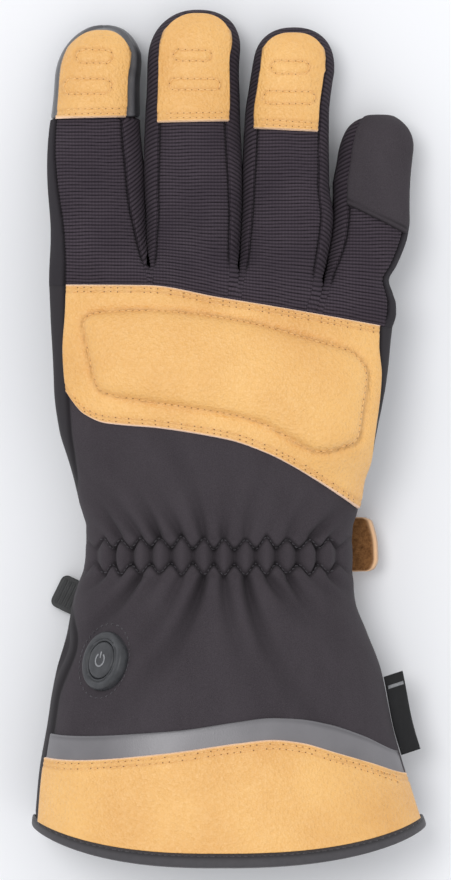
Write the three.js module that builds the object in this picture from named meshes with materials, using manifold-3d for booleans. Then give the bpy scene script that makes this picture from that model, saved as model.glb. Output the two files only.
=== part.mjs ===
// A heated gauntlet glove for the right hand. It lies on its palm with the back of the hand up
// and the thumb folded under the palm.
// Millimetres. +Z is up, the fingers point along +Y and the thumb side is -X.
// While it is built, X = 0 is the middle of the wrist, Y = 0 the gathered line across it and
// Z = 0 the surface that it lies on. At the end the group moves to the middle of its own box.

import * as THREE from 'three';
import { mergeVertices } from 'three/addons/utils/BufferGeometryUtils.js';
import Module from 'manifold-3d';

const wasm = await Module();
wasm.setup();

// Sizes of the shell
const shellWall = 4; // outer fabric, padding and lining together
const fingerWall = 3.5;
const clearance = 0.3; // between pieces that touch
const handLength = 94; // wrist line to knuckle seam, at the thumb side
const knuckleDrop = 15; // how much nearer the wrist the seam ends at the little finger
const cuffLength = 96; // wrist line to hem, at the sides
const backHemDip = 14; // how far the hem hangs lower in the middle of the back
const palmHemDip = 4;
const palmWidth = 120;
const wristWidth = 93;
const hemWidth = 136;
const cuffHeight = 60; // top of the open hem over the table
const sideLip = 1; // half the height of the narrow edge down each side

// Sizes of the fingers and the thumb
const tipRoundness = 0.47; // length of a rounded tip, as a share of the finger's width
const webLength = 16; // how soon a finger takes its own round section above the seam
const thumbThickness = 20; // pressed flat under the palm
const thumbWidth = 29;
const thumbLength = 66;
const thumbLean = 17; // degrees, towards the fingers' middle
const thumbRootX = -37;
const thumbRootY = 24;

// Sizes of the gathered wrist
const gatherCount = 12;
const gatherDepth = 3;
const gatherBand = 9.6; // between the two rows of zigzag stitching
const gatherFade = 10; // how fast the folds run out above and below
const pinchDepth = 1;

// Sizes of what is sewn on
const leatherThickness = 1.2;
const leatherClearance = 0.5; // under the knuckle panel and the sleeve round the index tip
const padHeight = 2.4;
const tapeThickness = 0.5; // reflective tape
const palmTapeWidth = 6.7;
const bindingThickness = 1;
const bindingHeight = 5.4;
const capSoftThickness = 1;
const strapWidth = 19.5;
const strapThickness = 1.5;
const strapCentre = 3.3; // past the gathered line
const strapFrom = -0.72; // across the wrist
const tabFrom = 0.84;
const tabReach = 8; // how far the pull tab shows past the wrist
const tabRise = 9; // degrees
const labelFrom = -0.735; // along the cuff
const labelTo = -0.45;
const labelReach = 7;
const labelThickness = 1.4;
const buttonAcross = -0.705;
const buttonAlong = -0.4;
const buttonDiameter = 20.8;
const buttonHeight = 1.8; // over the fabric
const buttonDish = 0.8;
const buttonCapDiameter = 13;
const clipAlong = -0.16;
const clipReach = 7; // past the side of the cuff
const clipLength = 15;
const clipWidth = 12;
const clipThickness = 2.6;
const clipBar = 2;
const clipSlot = 3;
const clipTurn = -26; // degrees from straight out of the thumb side
const webbingWidth = 9;
const webbingThickness = 1.2;
const webbingReach = 14; // from the clip's bar in under the palm
const webbingRise = 14;

// Sections of hand and cuff. at: -1 hem, 0 wrist, 1 knuckle seam. thumbSide and outerSide: from
// the wrist's half width, 0, to the hem's or palm's, 1. top: share of cuffHeight.
// bottom: share of the room for the thumb. side: where the side lies between bottom and top.
const bodyRows = [
  { at: -1.0, thumbSide: 0.84, outerSide: 1.18, top: 1.0, bottom: -0.12, side: 0.38 },
  { at: -0.82, thumbSide: 0.77, outerSide: 0.92, top: 0.985, bottom: -0.12, side: 0.38 },
  { at: -0.64, thumbSide: 0.66, outerSide: 0.67, top: 0.96, bottom: -0.1, side: 0.38 },
  { at: -0.42, thumbSide: 0.49, outerSide: 0.47, top: 0.92, bottom: -0.06, side: 0.38 },
  { at: -0.28, thumbSide: 0.31, outerSide: 0.23, top: 0.88, bottom: 0.02, side: 0.38 },
  { at: -0.16, thumbSide: 0.2, outerSide: 0.05, top: 0.83, bottom: 0.14, side: 0.39 },
  { at: 0.0, thumbSide: 0.0, outerSide: 0.0, top: 0.77, bottom: 0.2, side: 0.4 },
  { at: 0.1, thumbSide: 0.0, outerSide: 0.02, top: 0.78, bottom: 0.15, side: 0.41 },
  { at: 0.15, thumbSide: 0.09, outerSide: 0.13, top: 0.785, bottom: 0.13, side: 0.43 },
  { at: 0.2, thumbSide: 0.19, outerSide: 0.22, top: 0.795, bottom: -0.12, side: 0.49 },
  { at: 0.29, thumbSide: 0.35, outerSide: 0.32, top: 0.81, bottom: -0.14, side: 0.52 },
  { at: 0.37, thumbSide: 0.51, outerSide: 0.5, top: 0.835, bottom: 0.6, side: 0.38 },
  { at: 0.46, thumbSide: 0.69, outerSide: 0.6, top: 0.85, bottom: 1.0, side: 0.33 },
  { at: 0.62, thumbSide: 0.86, outerSide: 0.77, top: 0.85, bottom: 1.0, side: 0.34 },
  { at: 0.82, thumbSide: 0.91, outerSide: 0.92, top: 0.8, bottom: 0.97, side: 0.37 },
  { at: 1.0, thumbSide: 0.96, outerSide: 1.03, top: 0.745, bottom: 0.8, side: 0.44 },
];

// The knuckle seam. at: across the hand, -1 at the thumb side. drop: share of knuckleDrop.
const seamRows = [
  { at: -1, drop: 0.0 },
  { at: -0.42, drop: 0.02 },
  { at: 0.0, drop: 0.3 },
  { at: 0.45, drop: 0.6 },
  { at: 1, drop: 1.0 },
];

// Fingers, in millimetres, except from and to: the part of the knuckle seam that each takes.
// lean and bow: how far the tip and the middle stand off straight ahead. waist: width just over
// the seam, and tip: width before the rounded end, as shares of the width. sleeve: share of a
// layer of leather that the tip is thinner by all round, where it wears a sleeve of it.
const fingerRows = [
  { name: 'index_finger', from: -1.0, to: -0.403, length: 91, width: 34.2, thickness: 26, lean: 2.4,
    bow: -2.9, waist: 1.02, tip: 0.88, sleeve: 1 },
  { name: 'middle_finger', from: -0.403, to: 0.099, length: 99.4, width: 34.6, thickness: 27, lean: 1.3,
    bow: -1, waist: 0.9, tip: 0.93, sleeve: 0 },
  { name: 'ring_finger', from: 0.099, to: 0.56, length: 98.4, width: 30.7, thickness: 26, lean: 6,
    bow: 0.6, waist: 0.98, tip: 0.95, sleeve: 0 },
  { name: 'little_finger', from: 0.56, to: 1.0, length: 72.1, width: 29.4, thickness: 24, lean: 7.8,
    bow: 1.6, waist: 0.93, tip: 0.9, sleeve: 0 },
];

// Lines between neighbouring fingers: at is millimetres past the seam, fan the shift sideways.
const partingRows = [
  { after: 'index_finger', fan: -2.6, over: 50 },
  { after: 'middle_finger', fan: 2.4, over: 50 },
  { after: 'ring_finger', fan: 6.4, over: 45 },
];

// Lower edge of the knuckle panel and the stitched line round its pad. at: across the hand.
// The other columns are places along the hand, from the wrist, 0, to the knuckle seam, 1.
const panelRows = [
  { at: -0.91, edge: 0.6, padLow: 0.64, padHigh: 0.87 },
  { at: -0.82, edge: 0.52, padLow: 0.62, padHigh: 0.885 },
  { at: -0.7, edge: 0.487, padLow: 0.605, padHigh: 0.905 },
  { at: -0.36, edge: 0.468, padLow: 0.565, padHigh: 0.91 },
  { at: 0.06, edge: 0.435, padLow: 0.54, padHigh: 0.92 },
  { at: 0.28, edge: 0.395, padLow: 0.5, padHigh: 0.92 },
  { at: 0.47, edge: 0.345, padLow: 0.43, padHigh: 0.915 },
  { at: 0.68, edge: 0.28, padLow: 0.405, padHigh: 0.905 },
  { at: 0.84, edge: 0.225, padLow: 0.43, padHigh: 0.88 },
  { at: 1, edge: 0.17, padLow: 0.46, padHigh: 0.85 },
];

// Upper edges of the reflective tape and of the leather below it, along the cuff.
const cuffRows = [
  { at: -0.965, tape: -0.643, leather: -0.727 },
  { at: -0.5, tape: -0.605, leather: -0.677 },
  { at: -0.18, tape: -0.585, leather: -0.65 },
  { at: 0.11, tape: -0.561, leather: -0.627 },
  { at: 0.3, tape: -0.55, leather: -0.618 },
  { at: 0.46, tape: -0.556, leather: -0.63 },
  { at: 0.64, tape: -0.58, leather: -0.668 },
  { at: 0.83, tape: -0.633, leather: -0.722 },
  { at: 0.985, tape: -0.71, leather: -0.79 },
];

// Finger caps: from and to across the finger, start: where the lower edge lies along the finger at
// each side, as a share of its straight part. end: how far round the tip, of a quarter turn.
const capRows = [
  { name: 'index_tip_cap', finger: 'index_finger', from: -0.87, to: 0.72,
    startLeft: 0.79, startRight: 0.8, end: 0.74, thickness: leatherThickness, material: 'tan_leather' },
  { name: 'middle_tip_cap', finger: 'middle_finger', from: -0.72, to: 0.75,
    startLeft: 0.73, startRight: 0.735, end: 0.8, thickness: leatherThickness, material: 'tan_leather' },
  { name: 'ring_tip_cap', finger: 'ring_finger', from: -0.76, to: 0.8,
    startLeft: 0.67, startRight: 0.66, end: 0.78, thickness: leatherThickness, material: 'tan_leather' },
  { name: 'little_tip_cap', finger: 'little_finger', from: -0.62, to: 0.92,
    startLeft: 0.72, startRight: 0.56, end: 0.86, thickness: capSoftThickness, material: 'softshell' },
];

const materials = {
  softshell: new THREE.MeshStandardMaterial({ color: 0x443e44, roughness: 0.85, metalness: 0 }),
  rib_knit: new THREE.MeshStandardMaterial({ color: 0x3c353c, roughness: 0.95, metalness: 0 }),
  dark_leather: new THREE.MeshStandardMaterial({ color: 0x3a3a3c, roughness: 0.5, metalness: 0 }),
  tan_leather: new THREE.MeshStandardMaterial({ color: 0xf0bc75, roughness: 0.6, metalness: 0 }),
  suede: new THREE.MeshStandardMaterial({ color: 0x7d5430, roughness: 0.95, metalness: 0 }),
  reflective_tape: new THREE.MeshStandardMaterial({ color: 0x8c8b8e, roughness: 0.4, metalness: 0.1 }),
  binding_tape: new THREE.MeshStandardMaterial({ color: 0x505153, roughness: 0.8, metalness: 0 }),
  rubber: new THREE.MeshStandardMaterial({ color: 0x4b4c50, roughness: 0.6, metalness: 0 }),
  plastic: new THREE.MeshStandardMaterial({ color: 0x1f2120, roughness: 0.35, metalness: 0 }),
  webbing: new THREE.MeshStandardMaterial({ color: 0x2a2a2c, roughness: 0.9, metalness: 0 }),
};

const thumbRoom = thumbThickness + 2 * clearance;
const lerp = THREE.MathUtils.lerp;
const ease = (share) => THREE.MathUtils.smoothstep(share, 0, 1);

// One column of a table, on a smooth curve through its rows that never swings past them.
function read(rows, column, at) {
  const last = rows.length - 1;
  const place = THREE.MathUtils.clamp(at, rows[0].at, rows[last].at);
  const rise = (i) => (rows[i + 1][column] - rows[i][column]) / (rows[i + 1].at - rows[i].at);
  const slope = (i) => {
    if (i === 0) return rise(0);
    if (i === last) return rise(last - 1);
    const product = rise(i - 1) * rise(i);
    return product <= 0 ? 0 : (2 * product) / (rise(i - 1) + rise(i));
  };
  let i = 0;
  while (i < last - 1 && place > rows[i + 1].at) i += 1;
  const span = rows[i + 1].at - rows[i].at;
  const t = (place - rows[i].at) / span;
  const low = rows[i][column];
  const high = rows[i + 1][column];
  const bend = span * t * (1 - t) * (slope(i) * (1 - t) - slope(i + 1) * t);
  return lerp(low, high, ease(t)) + bend;
}

// Height of a section over its side, from 1 in the middle to 0 at the edges.
const arch = (across, power, root) => Math.max(0, 1 - Math.abs(across) ** power) ** root;
const backArch = (across) => arch(across, 2.5, 0.5);
const palmArch = (across) => arch(across, 4, 0.5);
const hemArch = (across) => arch(across, 2.5, 0.75);

// The folds that the elastic pulls into the back of the wrist.
const gatherFrom = -0.92;
const gatherTo = 0.88;
function gather(across, y) {
  if (across < gatherFrom || across > gatherTo) return 0;
  const share = (across - gatherFrom) / (gatherTo - gatherFrom);
  const puff = Math.abs(Math.sin(Math.PI * gatherCount * share));
  const past = Math.max(0, Math.abs(y) - gatherBand / 2);
  const rim = ease(Math.min(share, 1 - share) * gatherCount / 2);
  const row = Math.exp(-(((Math.abs(y) - gatherBand / 2) / 1.5) ** 2));
  return rim * (gatherDepth * (puff - 1) * Math.exp(-past / gatherFade) - pinchDepth * row);
}

// Near the hem the cuff stands clear of the ground by what is sewn under it.
const hemLift = tapeThickness + 2 * clearance;
const cuffLift = (at) => hemLift * (1 - ease((at + 0.84) / 0.04));

// A point of the hand and cuff, grow outside the plain surface. face is 'back' or 'palm'.
function bodyPoint(across, at, face, grow = 0) {
  const wristHalf = wristWidth / 2;
  const wideHalf = (at < 0 ? hemWidth : palmWidth) / 2;
  const edge = (column) => lerp(wristHalf, wideHalf, read(bodyRows, column, at)) + grow;
  const x = across < 0 ? across * edge('thumbSide') : across * edge('outerSide');
  const dip = (face === 'back' ? backHemDip : palmHemDip) * hemArch(across);
  const y = at < 0
    ? cuffLength * at - dip * at ** 2
    : handLength * at - knuckleDrop * read(seamRows, 'drop', across) * at ** 2;
  const top = cuffHeight * read(bodyRows, 'top', at);
  const bottom = thumbRoom * read(bodyRows, 'bottom', at);
  const side = lerp(bottom, top, read(bodyRows, 'side', at));
  const z = face === 'back'
    ? side + sideLip + (top + grow - side - sideLip) * backArch(across) + gather(across, y)
    : side - sideLip - (side - bottom + grow - sideLip) * palmArch(across);
  return new THREE.Vector3(x, y, Math.max(cuffLift(at) - grow, z));
}

// The line between a finger and the next one, at a height y.
function partingX(name, seamEnd, y) {
  const row = partingRows.find((parting) => parting.after === name);
  const way = THREE.MathUtils.clamp((y - seamEnd.y) / row.over, 0, 1);
  return seamEnd.x + row.fan * Math.sin((way * Math.PI) / 2);
}

// A point of a finger. at: 0 at the seam, 1 where the rounded tip starts and 2 at its end.
function fingerPoint(finger, across, at, face, grow = 0) {
  const order = fingerRows.indexOf(finger);
  const seamLeft = bodyPoint(finger.from, 1, 'back');
  const seamRight = bodyPoint(finger.to, 1, 'back');
  const seamHalf = (seamRight.x - seamLeft.x) / 2;
  const seamShare = (1 + across * (1 + grow / seamHalf)) / 2;
  const seam = bodyPoint(lerp(finger.from, finger.to, seamShare), 1, face, grow);
  const seamMiddle = bodyPoint((finger.from + finger.to) / 2, 1, 'back');
  const tipLength = tipRoundness * finger.width;
  const straight = finger.length - tipLength;
  const turn = (Math.max(0, at - 1) * Math.PI) / 2;
  const round = Math.max(0, 1 - Math.sin(turn) ** 2.3) ** (1 / 2.3);
  const reach = Math.min(at, 1) * straight + (tipLength + grow) * Math.sin(turn);
  const own = ease(reach / webLength);
  const settle = ease(reach / (2 * webLength));
  const y = lerp(seam.y, seamMiddle.y, settle) + reach;

  const share = reach / finger.length;
  const width = finger.width * lerp(finger.waist, 1, ease(share / 0.4)) *
    lerp(1, finger.tip, ease((share - 0.4) / 0.4));
  const bow = finger.bow * Math.sin(Math.PI * Math.min(1, share)) ** 2;
  const centre = seamMiddle.x + finger.lean * share + bow;
  let left = lerp(seamLeft.x, centre - width / 2, own);
  let right = lerp(seamRight.x, centre + width / 2, own);
  if (order > 0) {
    left = Math.max(left, partingX(fingerRows[order - 1].name, seamLeft, y) + clearance / 2);
  }
  if (order < fingerRows.length - 1) {
    right = Math.min(right, partingX(finger.name, seamRight, y) - clearance / 2);
  }
  const middle = (left + right) / 2;
  const sole = finger.sleeve * (leatherThickness + leatherClearance);
  const half = (right - left) / 2 + grow - sole * ease((at - 0.7) / 0.08);
  const x = middle + half * across * round;

  const droop = ease(share / 0.9);
  const bottom = lerp(thumbRoom * read(bodyRows, 'bottom', 1), -0.5, droop);
  const thickness = finger.thickness * lerp(1, 0.93, droop);
  const side = bottom + 0.46 * thickness;
  const ownZ = face === 'back'
    ? side + (sideLip + (thickness * 0.54 + grow - sideLip) * arch(across, 2.3, 0.5)) * round
    : side - (sideLip + (thickness * 0.46 + grow - sideLip) * arch(across, 2.6, 0.5)) * round;
  return new THREE.Vector3(x, y, Math.max(sole - grow, lerp(seam.z, ownZ, own)));
}

// A point of the thumb, in its own line from root to tip. at counts as on a finger.
function thumbPoint(across, at, face, grow = 0) {
  const tipLength = tipRoundness * thumbWidth;
  const turn = (Math.max(0, at - 1) * Math.PI) / 2;
  const round = Math.max(0, 1 - Math.sin(turn) ** 2.3) ** (1 / 2.3);
  const reach = Math.min(at, 1) * (thumbLength - tipLength) + (tipLength + grow) * Math.sin(turn);
  const half = (thumbWidth / 2 + grow) * lerp(0.94, 1, ease(at)) * round;
  const lean = THREE.MathUtils.degToRad(thumbLean);
  const x = thumbRootX + reach * Math.sin(lean) + half * across * Math.cos(lean);
  const y = thumbRootY + reach * Math.cos(lean) - half * across * Math.sin(lean);
  const side = thumbThickness / 2;
  const rise = face === 'back' ? side + grow : side + grow + 1;
  const height = (sideLip + (rise - sideLip) * arch(across, 2.6, 0.5)) * round;
  const z = face === 'back' ? side + height : side - height;
  return new THREE.Vector3(x, y, Math.max(-grow, z));
}

const fromTriangles = (positions) => new THREE.BufferGeometry()
  .setAttribute('position', new THREE.Float32BufferAttribute(positions, 3));

// Geometry from rings of points, joined one to the next. Each end is a single point, or the last
// ring joins the first.
function loft(rings, { closed = false } = {}) {
  const positions = [];
  const triangle = (a, b, c) => positions.push(...a.toArray(), ...b.toArray(), ...c.toArray());
  const joins = closed ? rings.length : rings.length - 1;
  for (let r = 0; r < joins; r += 1) {
    const lower = rings[r];
    const upper = rings[(r + 1) % rings.length];
    const count = Math.max(lower.length, upper.length);
    for (let i = 0; i < count; i += 1) {
      const j = (i + 1) % count;
      if (lower.length > 1) triangle(lower[i], lower[j], upper[upper.length > 1 ? j : 0]);
      if (upper.length > 1) triangle(lower[lower.length > 1 ? i : 0], upper[j], upper[i]);
    }
  }
  return fromTriangles(positions);
}

// A thin sheet with thickness: over and under are grids of points with the same rows and columns.
function sheet(over, under) {
  const rows = over.map((row, r) => [...row, ...[...under[r]].reverse()]);
  const count = over[0].length;
  const positions = [];
  const triangle = (a, b, c) => positions.push(...a.toArray(), ...b.toArray(), ...c.toArray());
  const cap = (ring, turn) => {
    for (let i = 0; i < count - 1; i += 1) {
      const quad = [ring[i], ring[i + 1], ring[2 * count - 2 - i], ring[2 * count - 1 - i]];
      if (turn) quad.reverse();
      triangle(quad[0], quad[1], quad[2]);
      triangle(quad[0], quad[2], quad[3]);
    }
  };
  const wrap = loft(rows).getAttribute('position').array;
  positions.push(...wrap);
  cap(rows[0], true);
  cap(rows[rows.length - 1], false);
  return fromTriangles(positions);
}

function toSolid(geometry) {
  const bare = geometry.index ? geometry.toNonIndexed() : geometry.clone();
  bare.deleteAttribute('normal');
  bare.deleteAttribute('uv');
  const merged = mergeVertices(bare, 1e-4);
  const solid = new wasm.Manifold(new wasm.Mesh({
    numProp: 3,
    vertProperties: merged.getAttribute('position').array,
    triVerts: new Uint32Array(merged.index.array),
  }));
  return solid;
}

function toGeometry(solid) {
  const mesh = solid.getMesh();
  const geometry = new THREE.BufferGeometry();
  geometry.setAttribute('position', new THREE.BufferAttribute(mesh.vertProperties, 3));
  geometry.setIndex(new THREE.BufferAttribute(mesh.triVerts, 1));
  return geometry;
}

const glove = new THREE.Group();
function add(name, geometry, material, parent = glove) {
  const mesh = new THREE.Mesh(geometry, materials[material]);
  mesh.name = name;
  parent.add(mesh);
  return mesh;
}

// Columns across the back: on each gather and in each fold, and closer at the edges.
const backColumns = [-1, -0.97];
for (let i = 0; i <= 2 * gatherCount; i += 1) {
  backColumns.push(lerp(gatherFrom, gatherTo, i / (2 * gatherCount)));
}
backColumns.push(0.94, 0.98, 1);
const halfPalmColumns = [0.2, 0.4, 0.6, 0.78, 0.92, 1];
const palmColumns = [...halfPalmColumns.map((column) => -column).reverse(), 0, ...halfPalmColumns];
const columnsBetween = (columns, from, to) => [
  from,
  ...columns.filter((column) => column > from + 0.01 && column < to - 0.01),
  to,
];

// A ring round the hand or cuff, anticlockwise seen from the fingers.
const bodyRing = (at, grow) => [
  ...backColumns.map((across) => bodyPoint(across, at, 'back', grow)),
  ...[...palmColumns].reverse().map((across) => bodyPoint(across, at, 'palm', grow)),
];

// Places along the hand and cuff where the shell bends.
const gatherEdge = gatherBand / 2 / handLength;
const bindingAt = -1 + bindingHeight / cuffLength;
const openAt = bindingAt + 0.01; // first place that the binding leaves bare
const cuffAts = [-0.85, -0.8, -0.72, -0.64, -0.56, -0.42, -0.28, -0.17, -0.1];
const wristAts = [-gatherEdge, -gatherEdge / 2, 0, gatherEdge / 2, gatherEdge];
const handAts = [0.1, 0.15, 0.2, 0.25, 0.29, 0.33, 0.37, 0.43, 0.5, 0.65, 0.82];

// Hand and cuff in one, open to the fingers and at the hem. Under the binding it is thinner.
function makeShell() {
  const tuck = bindingThickness + clearance - hemLift;
  const hemAt = -1 + clearance / cuffLength;
  const seamAt = 1 - clearance / handLength;
  const outer = [
    bodyRing(hemAt, -tuck),
    bodyRing(bindingAt, -tuck),
    ...[openAt, ...cuffAts, ...wristAts, ...handAts, seamAt].map((at) => bodyRing(at, 0)),
  ];
  const innerAts = [-0.75, -0.5, -0.28, -0.1, 0, 0.1, 0.2, 0.31, 0.4, 0.5, 0.7, seamAt];
  const inner = [
    bodyRing(hemAt, -shellWall),
    ...innerAts.map((at) => bodyRing(at, -shellWall)),
  ];
  return loft([...outer, ...inner.reverse()], { closed: true });
}

// A solid of everything inside the shell's outside, grown by grow, to cut its neighbours with.
function shellEnvelope(grow) {
  const ats = [openAt, ...cuffAts, ...wristAts, ...handAts, 1];
  const end = (at) => [bodyPoint(0, at, 'back', -shellWall)];
  return toSolid(loft([end(ats[0]), ...ats.map((at) => bodyRing(at, grow)), end(1)]));
}

// A sheet sewn on the hand or cuff. columns run across, and atsAt gives each column its own
// places along, from the wrist side to the finger side. lift raises places over the plain sheet.
function patch(face, columns, atsAt, thickness, gap = clearance, lift = () => 0) {
  const ordered = face === 'back' ? columns : [...columns].reverse();
  const count = atsAt(ordered[0]).length;
  const grid = (grow, raised) => Array.from({ length: count }, (_, row) => ordered.map((across) => {
    const extra = raised ? lift(across, row) : 0;
    return bodyPoint(across, atsAt(across)[row], face, grow + extra);
  }));
  return sheet(grid(gap + thickness, true), grid(gap, false));
}

// The knuckle panel, whose pad rises just inside its stitched line.
function makeKnucklePanel() {
  const columns = columnsBetween(backColumns, -0.91, 0.965);
  const roll = 0.018; // how soon the pad rises, along the hand
  const padRows = [0, 0, 0, 0, 1, 1, 1, 1, 1, 0, 0];
  const atsAt = (across) => {
    const edge = read(panelRows, 'edge', across);
    const low = Math.max(read(panelRows, 'padLow', across), edge + 3 * roll);
    const high = read(panelRows, 'padHigh', across);
    const flank = [edge, lerp(edge, low, 0.33), lerp(edge, low, 0.67), low - roll / 2];
    const pad = [low + roll, ...[0.25, 0.5, 0.75].map((share) => lerp(low, high, share)), high - roll];
    return [...flank, ...pad, high + roll / 2, 1 - clearance / handLength];
  };
  const side = (across) => ease((across + 0.88) / 0.1) * ease((0.95 - across) / 0.08);
  const lift = (across, row) => padHeight * padRows[row] * side(across);
  return patch('back', columns, atsAt, leatherThickness, leatherClearance, lift);
}

// Tape and leather across the back of the cuff, and tape under the palm's hem.
const tapeFrom = -0.965;
const tapeTo = 0.985;
const seamGap = clearance / cuffLength;
const tapeColumns = columnsBetween(backColumns, tapeFrom, tapeTo);

function makeReflectiveStrip() {
  const low = (across) => read(cuffRows, 'leather', across) + seamGap;
  const high = (across) => read(cuffRows, 'tape', across);
  return patch('back', tapeColumns, (across) => [low(across), high(across)], tapeThickness);
}

function makeCuffLeather() {
  const low = openAt + seamGap;
  const high = (across) => read(cuffRows, 'leather', across) - seamGap;
  const atsAt = (across) => [low, lerp(low, high(across), 0.4), lerp(low, high(across), 0.7), high(across)];
  return patch('back', tapeColumns, atsAt, leatherThickness);
}

function makePalmTape() {
  const low = openAt + seamGap;
  const high = low + palmTapeWidth / cuffLength;
  return patch('palm', columnsBetween(palmColumns, -0.985, 0.985), () => [low, high], tapeThickness);
}

// Tape folded over the hem, a channel all the way round.
function makeBinding() {
  const bottom = -1 - bindingThickness / cuffLength;
  const inside = -shellWall - clearance;
  const profile = [
    [bottom, hemLift],
    [bindingAt, hemLift],
    [bindingAt, hemLift - bindingThickness],
    [-1, hemLift - bindingThickness],
    [-1, inside],
    [bindingAt, inside],
    [bindingAt, inside - bindingThickness],
    [bottom, inside - bindingThickness],
  ];
  return loft(profile.map(([at, grow]) => bodyRing(at, grow)), { closed: true });
}

const fingerColumns = [-1, -0.87, -0.62, -0.32, 0, 0.32, 0.62, 0.87, 1];
const fingerPalmColumns = [-1, -0.85, -0.5, 0, 0.5, 0.85, 1];
const shaftAts = [0, 0.07, 0.14, 0.22, 0.36, 0.52, 0.66, 0.78, 0.89, 1];
const tipAts = [1.25, 1.47, 1.66, 1.84];

// A closed stall: inner rings from the tip down to its mouth's, and outer rings back up.
function makeStall(point, wall, outerAts, innerAts) {
  const ring = (at, grow) => [
    ...fingerColumns.map((across) => point(across, at, 'back', grow)),
    ...[...fingerPalmColumns].reverse().map((across) => point(across, at, 'palm', grow)),
  ];
  const pole = (grow) => [point(0, 2, 'back', grow).lerp(point(0, 2, 'palm', grow), 0.5)];
  return loft([
    pole(-wall),
    ...[...innerAts].reverse().map((at) => ring(at, -wall)),
    ...outerAts.map((at) => ring(at, 0)),
    pole(0),
  ]);
}

// A cap drawn over the back of a finger's tip.
const capAts = (row, across) => {
  const share = (across - row.from) / (row.to - row.from);
  const start = lerp(row.startLeft, row.startRight, share);
  return [start, lerp(start, 1, 0.5), 1, ...tipAts.filter((at) => at < 0.95 + row.end), 1 + row.end];
};
function makeCap(row) {
  const finger = fingerRows.find(({ name }) => name === row.finger);
  const columns = columnsBetween(fingerColumns, row.from, row.to);
  const count = capAts(row, 0).length;
  const grid = (grow) => Array.from({ length: count }, (_, i) => columns.map((across) => (
    fingerPoint(finger, across, capAts(row, across)[i], 'back', grow))));
  return sheet(grid(clearance + row.thickness), grid(clearance));
}

// Leather round the sides and underside of the index tip, up to its cap on both sides.
function makeTouchCap() {
  const row = capRows[0];
  const finger = fingerRows[0];
  const gap = (2 * clearance) / finger.width;
  const places = [
    ...[row.to + gap, 0.87, 1].map((across) => [across, 'back']),
    ...[...fingerPalmColumns].reverse().map((across) => [across, 'palm']),
    ...[-1, row.from - gap].map((across) => [across, 'back']),
  ];
  const count = capAts(row, 0).length;
  const grid = (grow) => Array.from({ length: count }, (_, i) => places.map(([across, face]) => {
    const held = THREE.MathUtils.clamp(across, row.from, row.to);
    return fingerPoint(finger, across, capAts(row, held)[i], face, grow);
  }));
  return sheet(grid(leatherClearance + leatherThickness), grid(leatherClearance));
}

// The thumb's hollow, run on through the shell of the palm.
function thumbHollow() {
  const inside = (across, at, face) => thumbPoint(across, at, face, -fingerWall);
  const ring = (at) => [
    ...fingerColumns.map((across) => inside(across, at, 'back')),
    ...[...fingerPalmColumns].reverse().map((across) => inside(across, at, 'palm')),
  ];
  const end = (at) => [inside(0, at, 'back').lerp(inside(0, at, 'palm'), 0.5)];
  return toSolid(loft([end(-0.12), ring(-0.12), ring(0.2), ring(0.5), end(0.5)]));
}

// The strap under the wrist, whose free end stands out past the outer side.
function makeStrap() {
  const rise = THREE.MathUtils.degToRad(tabRise);
  const surface = columnsBetween(palmColumns, strapFrom, tabFrom);
  const hold = [0, 0.33, 0.7, 0.92, 1]; // along the tab
  const places = [...hold.slice(1).reverse().map((share) => [tabFrom, share]),
    ...surface.reverse().map((across) => [across, 0])];
  const grid = (grow) => [-1, -0.5, 0.5, 1].map((row) => places.map(([across, share]) => {
    const narrowing = 1 - 0.35 * share ** 6;
    const y = strapCentre + (row * narrowing * strapWidth) / 2;
    const at = y < 0 ? y / cuffLength : y / handLength;
    const point = bodyPoint(across, at, 'palm', grow);
    const root = bodyPoint(across, 0, 'palm', 0);
    const reach = (wristWidth / 2 + tabReach - root.x) * share;
    point.y = y;
    point.x += reach;
    point.z += reach * Math.tan(rise);
    return point;
  }));
  return sheet(grid(clearance + strapThickness), grid(clearance));
}

// A folded label caught in the seam of the outer side.
function makeLabel() {
  const ats = [labelFrom, lerp(labelFrom, labelTo, 0.33), lerp(labelFrom, labelTo, 0.67), labelTo];
  const grid = (way) => ats.map((at) => [clearance, labelReach / 2, labelReach].map((reach) => {
    const point = bodyPoint(1, at, 'back');
    return new THREE.Vector3(point.x + reach, point.y, point.z - sideLip + (way * labelThickness) / 2);
  }));
  return sheet(grid(1), grid(-1));
}

// Where a round piece sits on the back of the cuff, and which way is out of it there.
function seatOnBack(across, at) {
  const step = 0.02;
  const place = bodyPoint(across, at, 'back');
  const along = bodyPoint(across, at + step, 'back').sub(bodyPoint(across, at - step, 'back'));
  const over = bodyPoint(across + step, at, 'back').sub(bodyPoint(across - step, at, 'back'));
  const outward = over.cross(along).normalize();
  const turn = new THREE.Quaternion().setFromUnitVectors(new THREE.Vector3(0, 1, 0), outward);
  return { place, turn };
}

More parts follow.
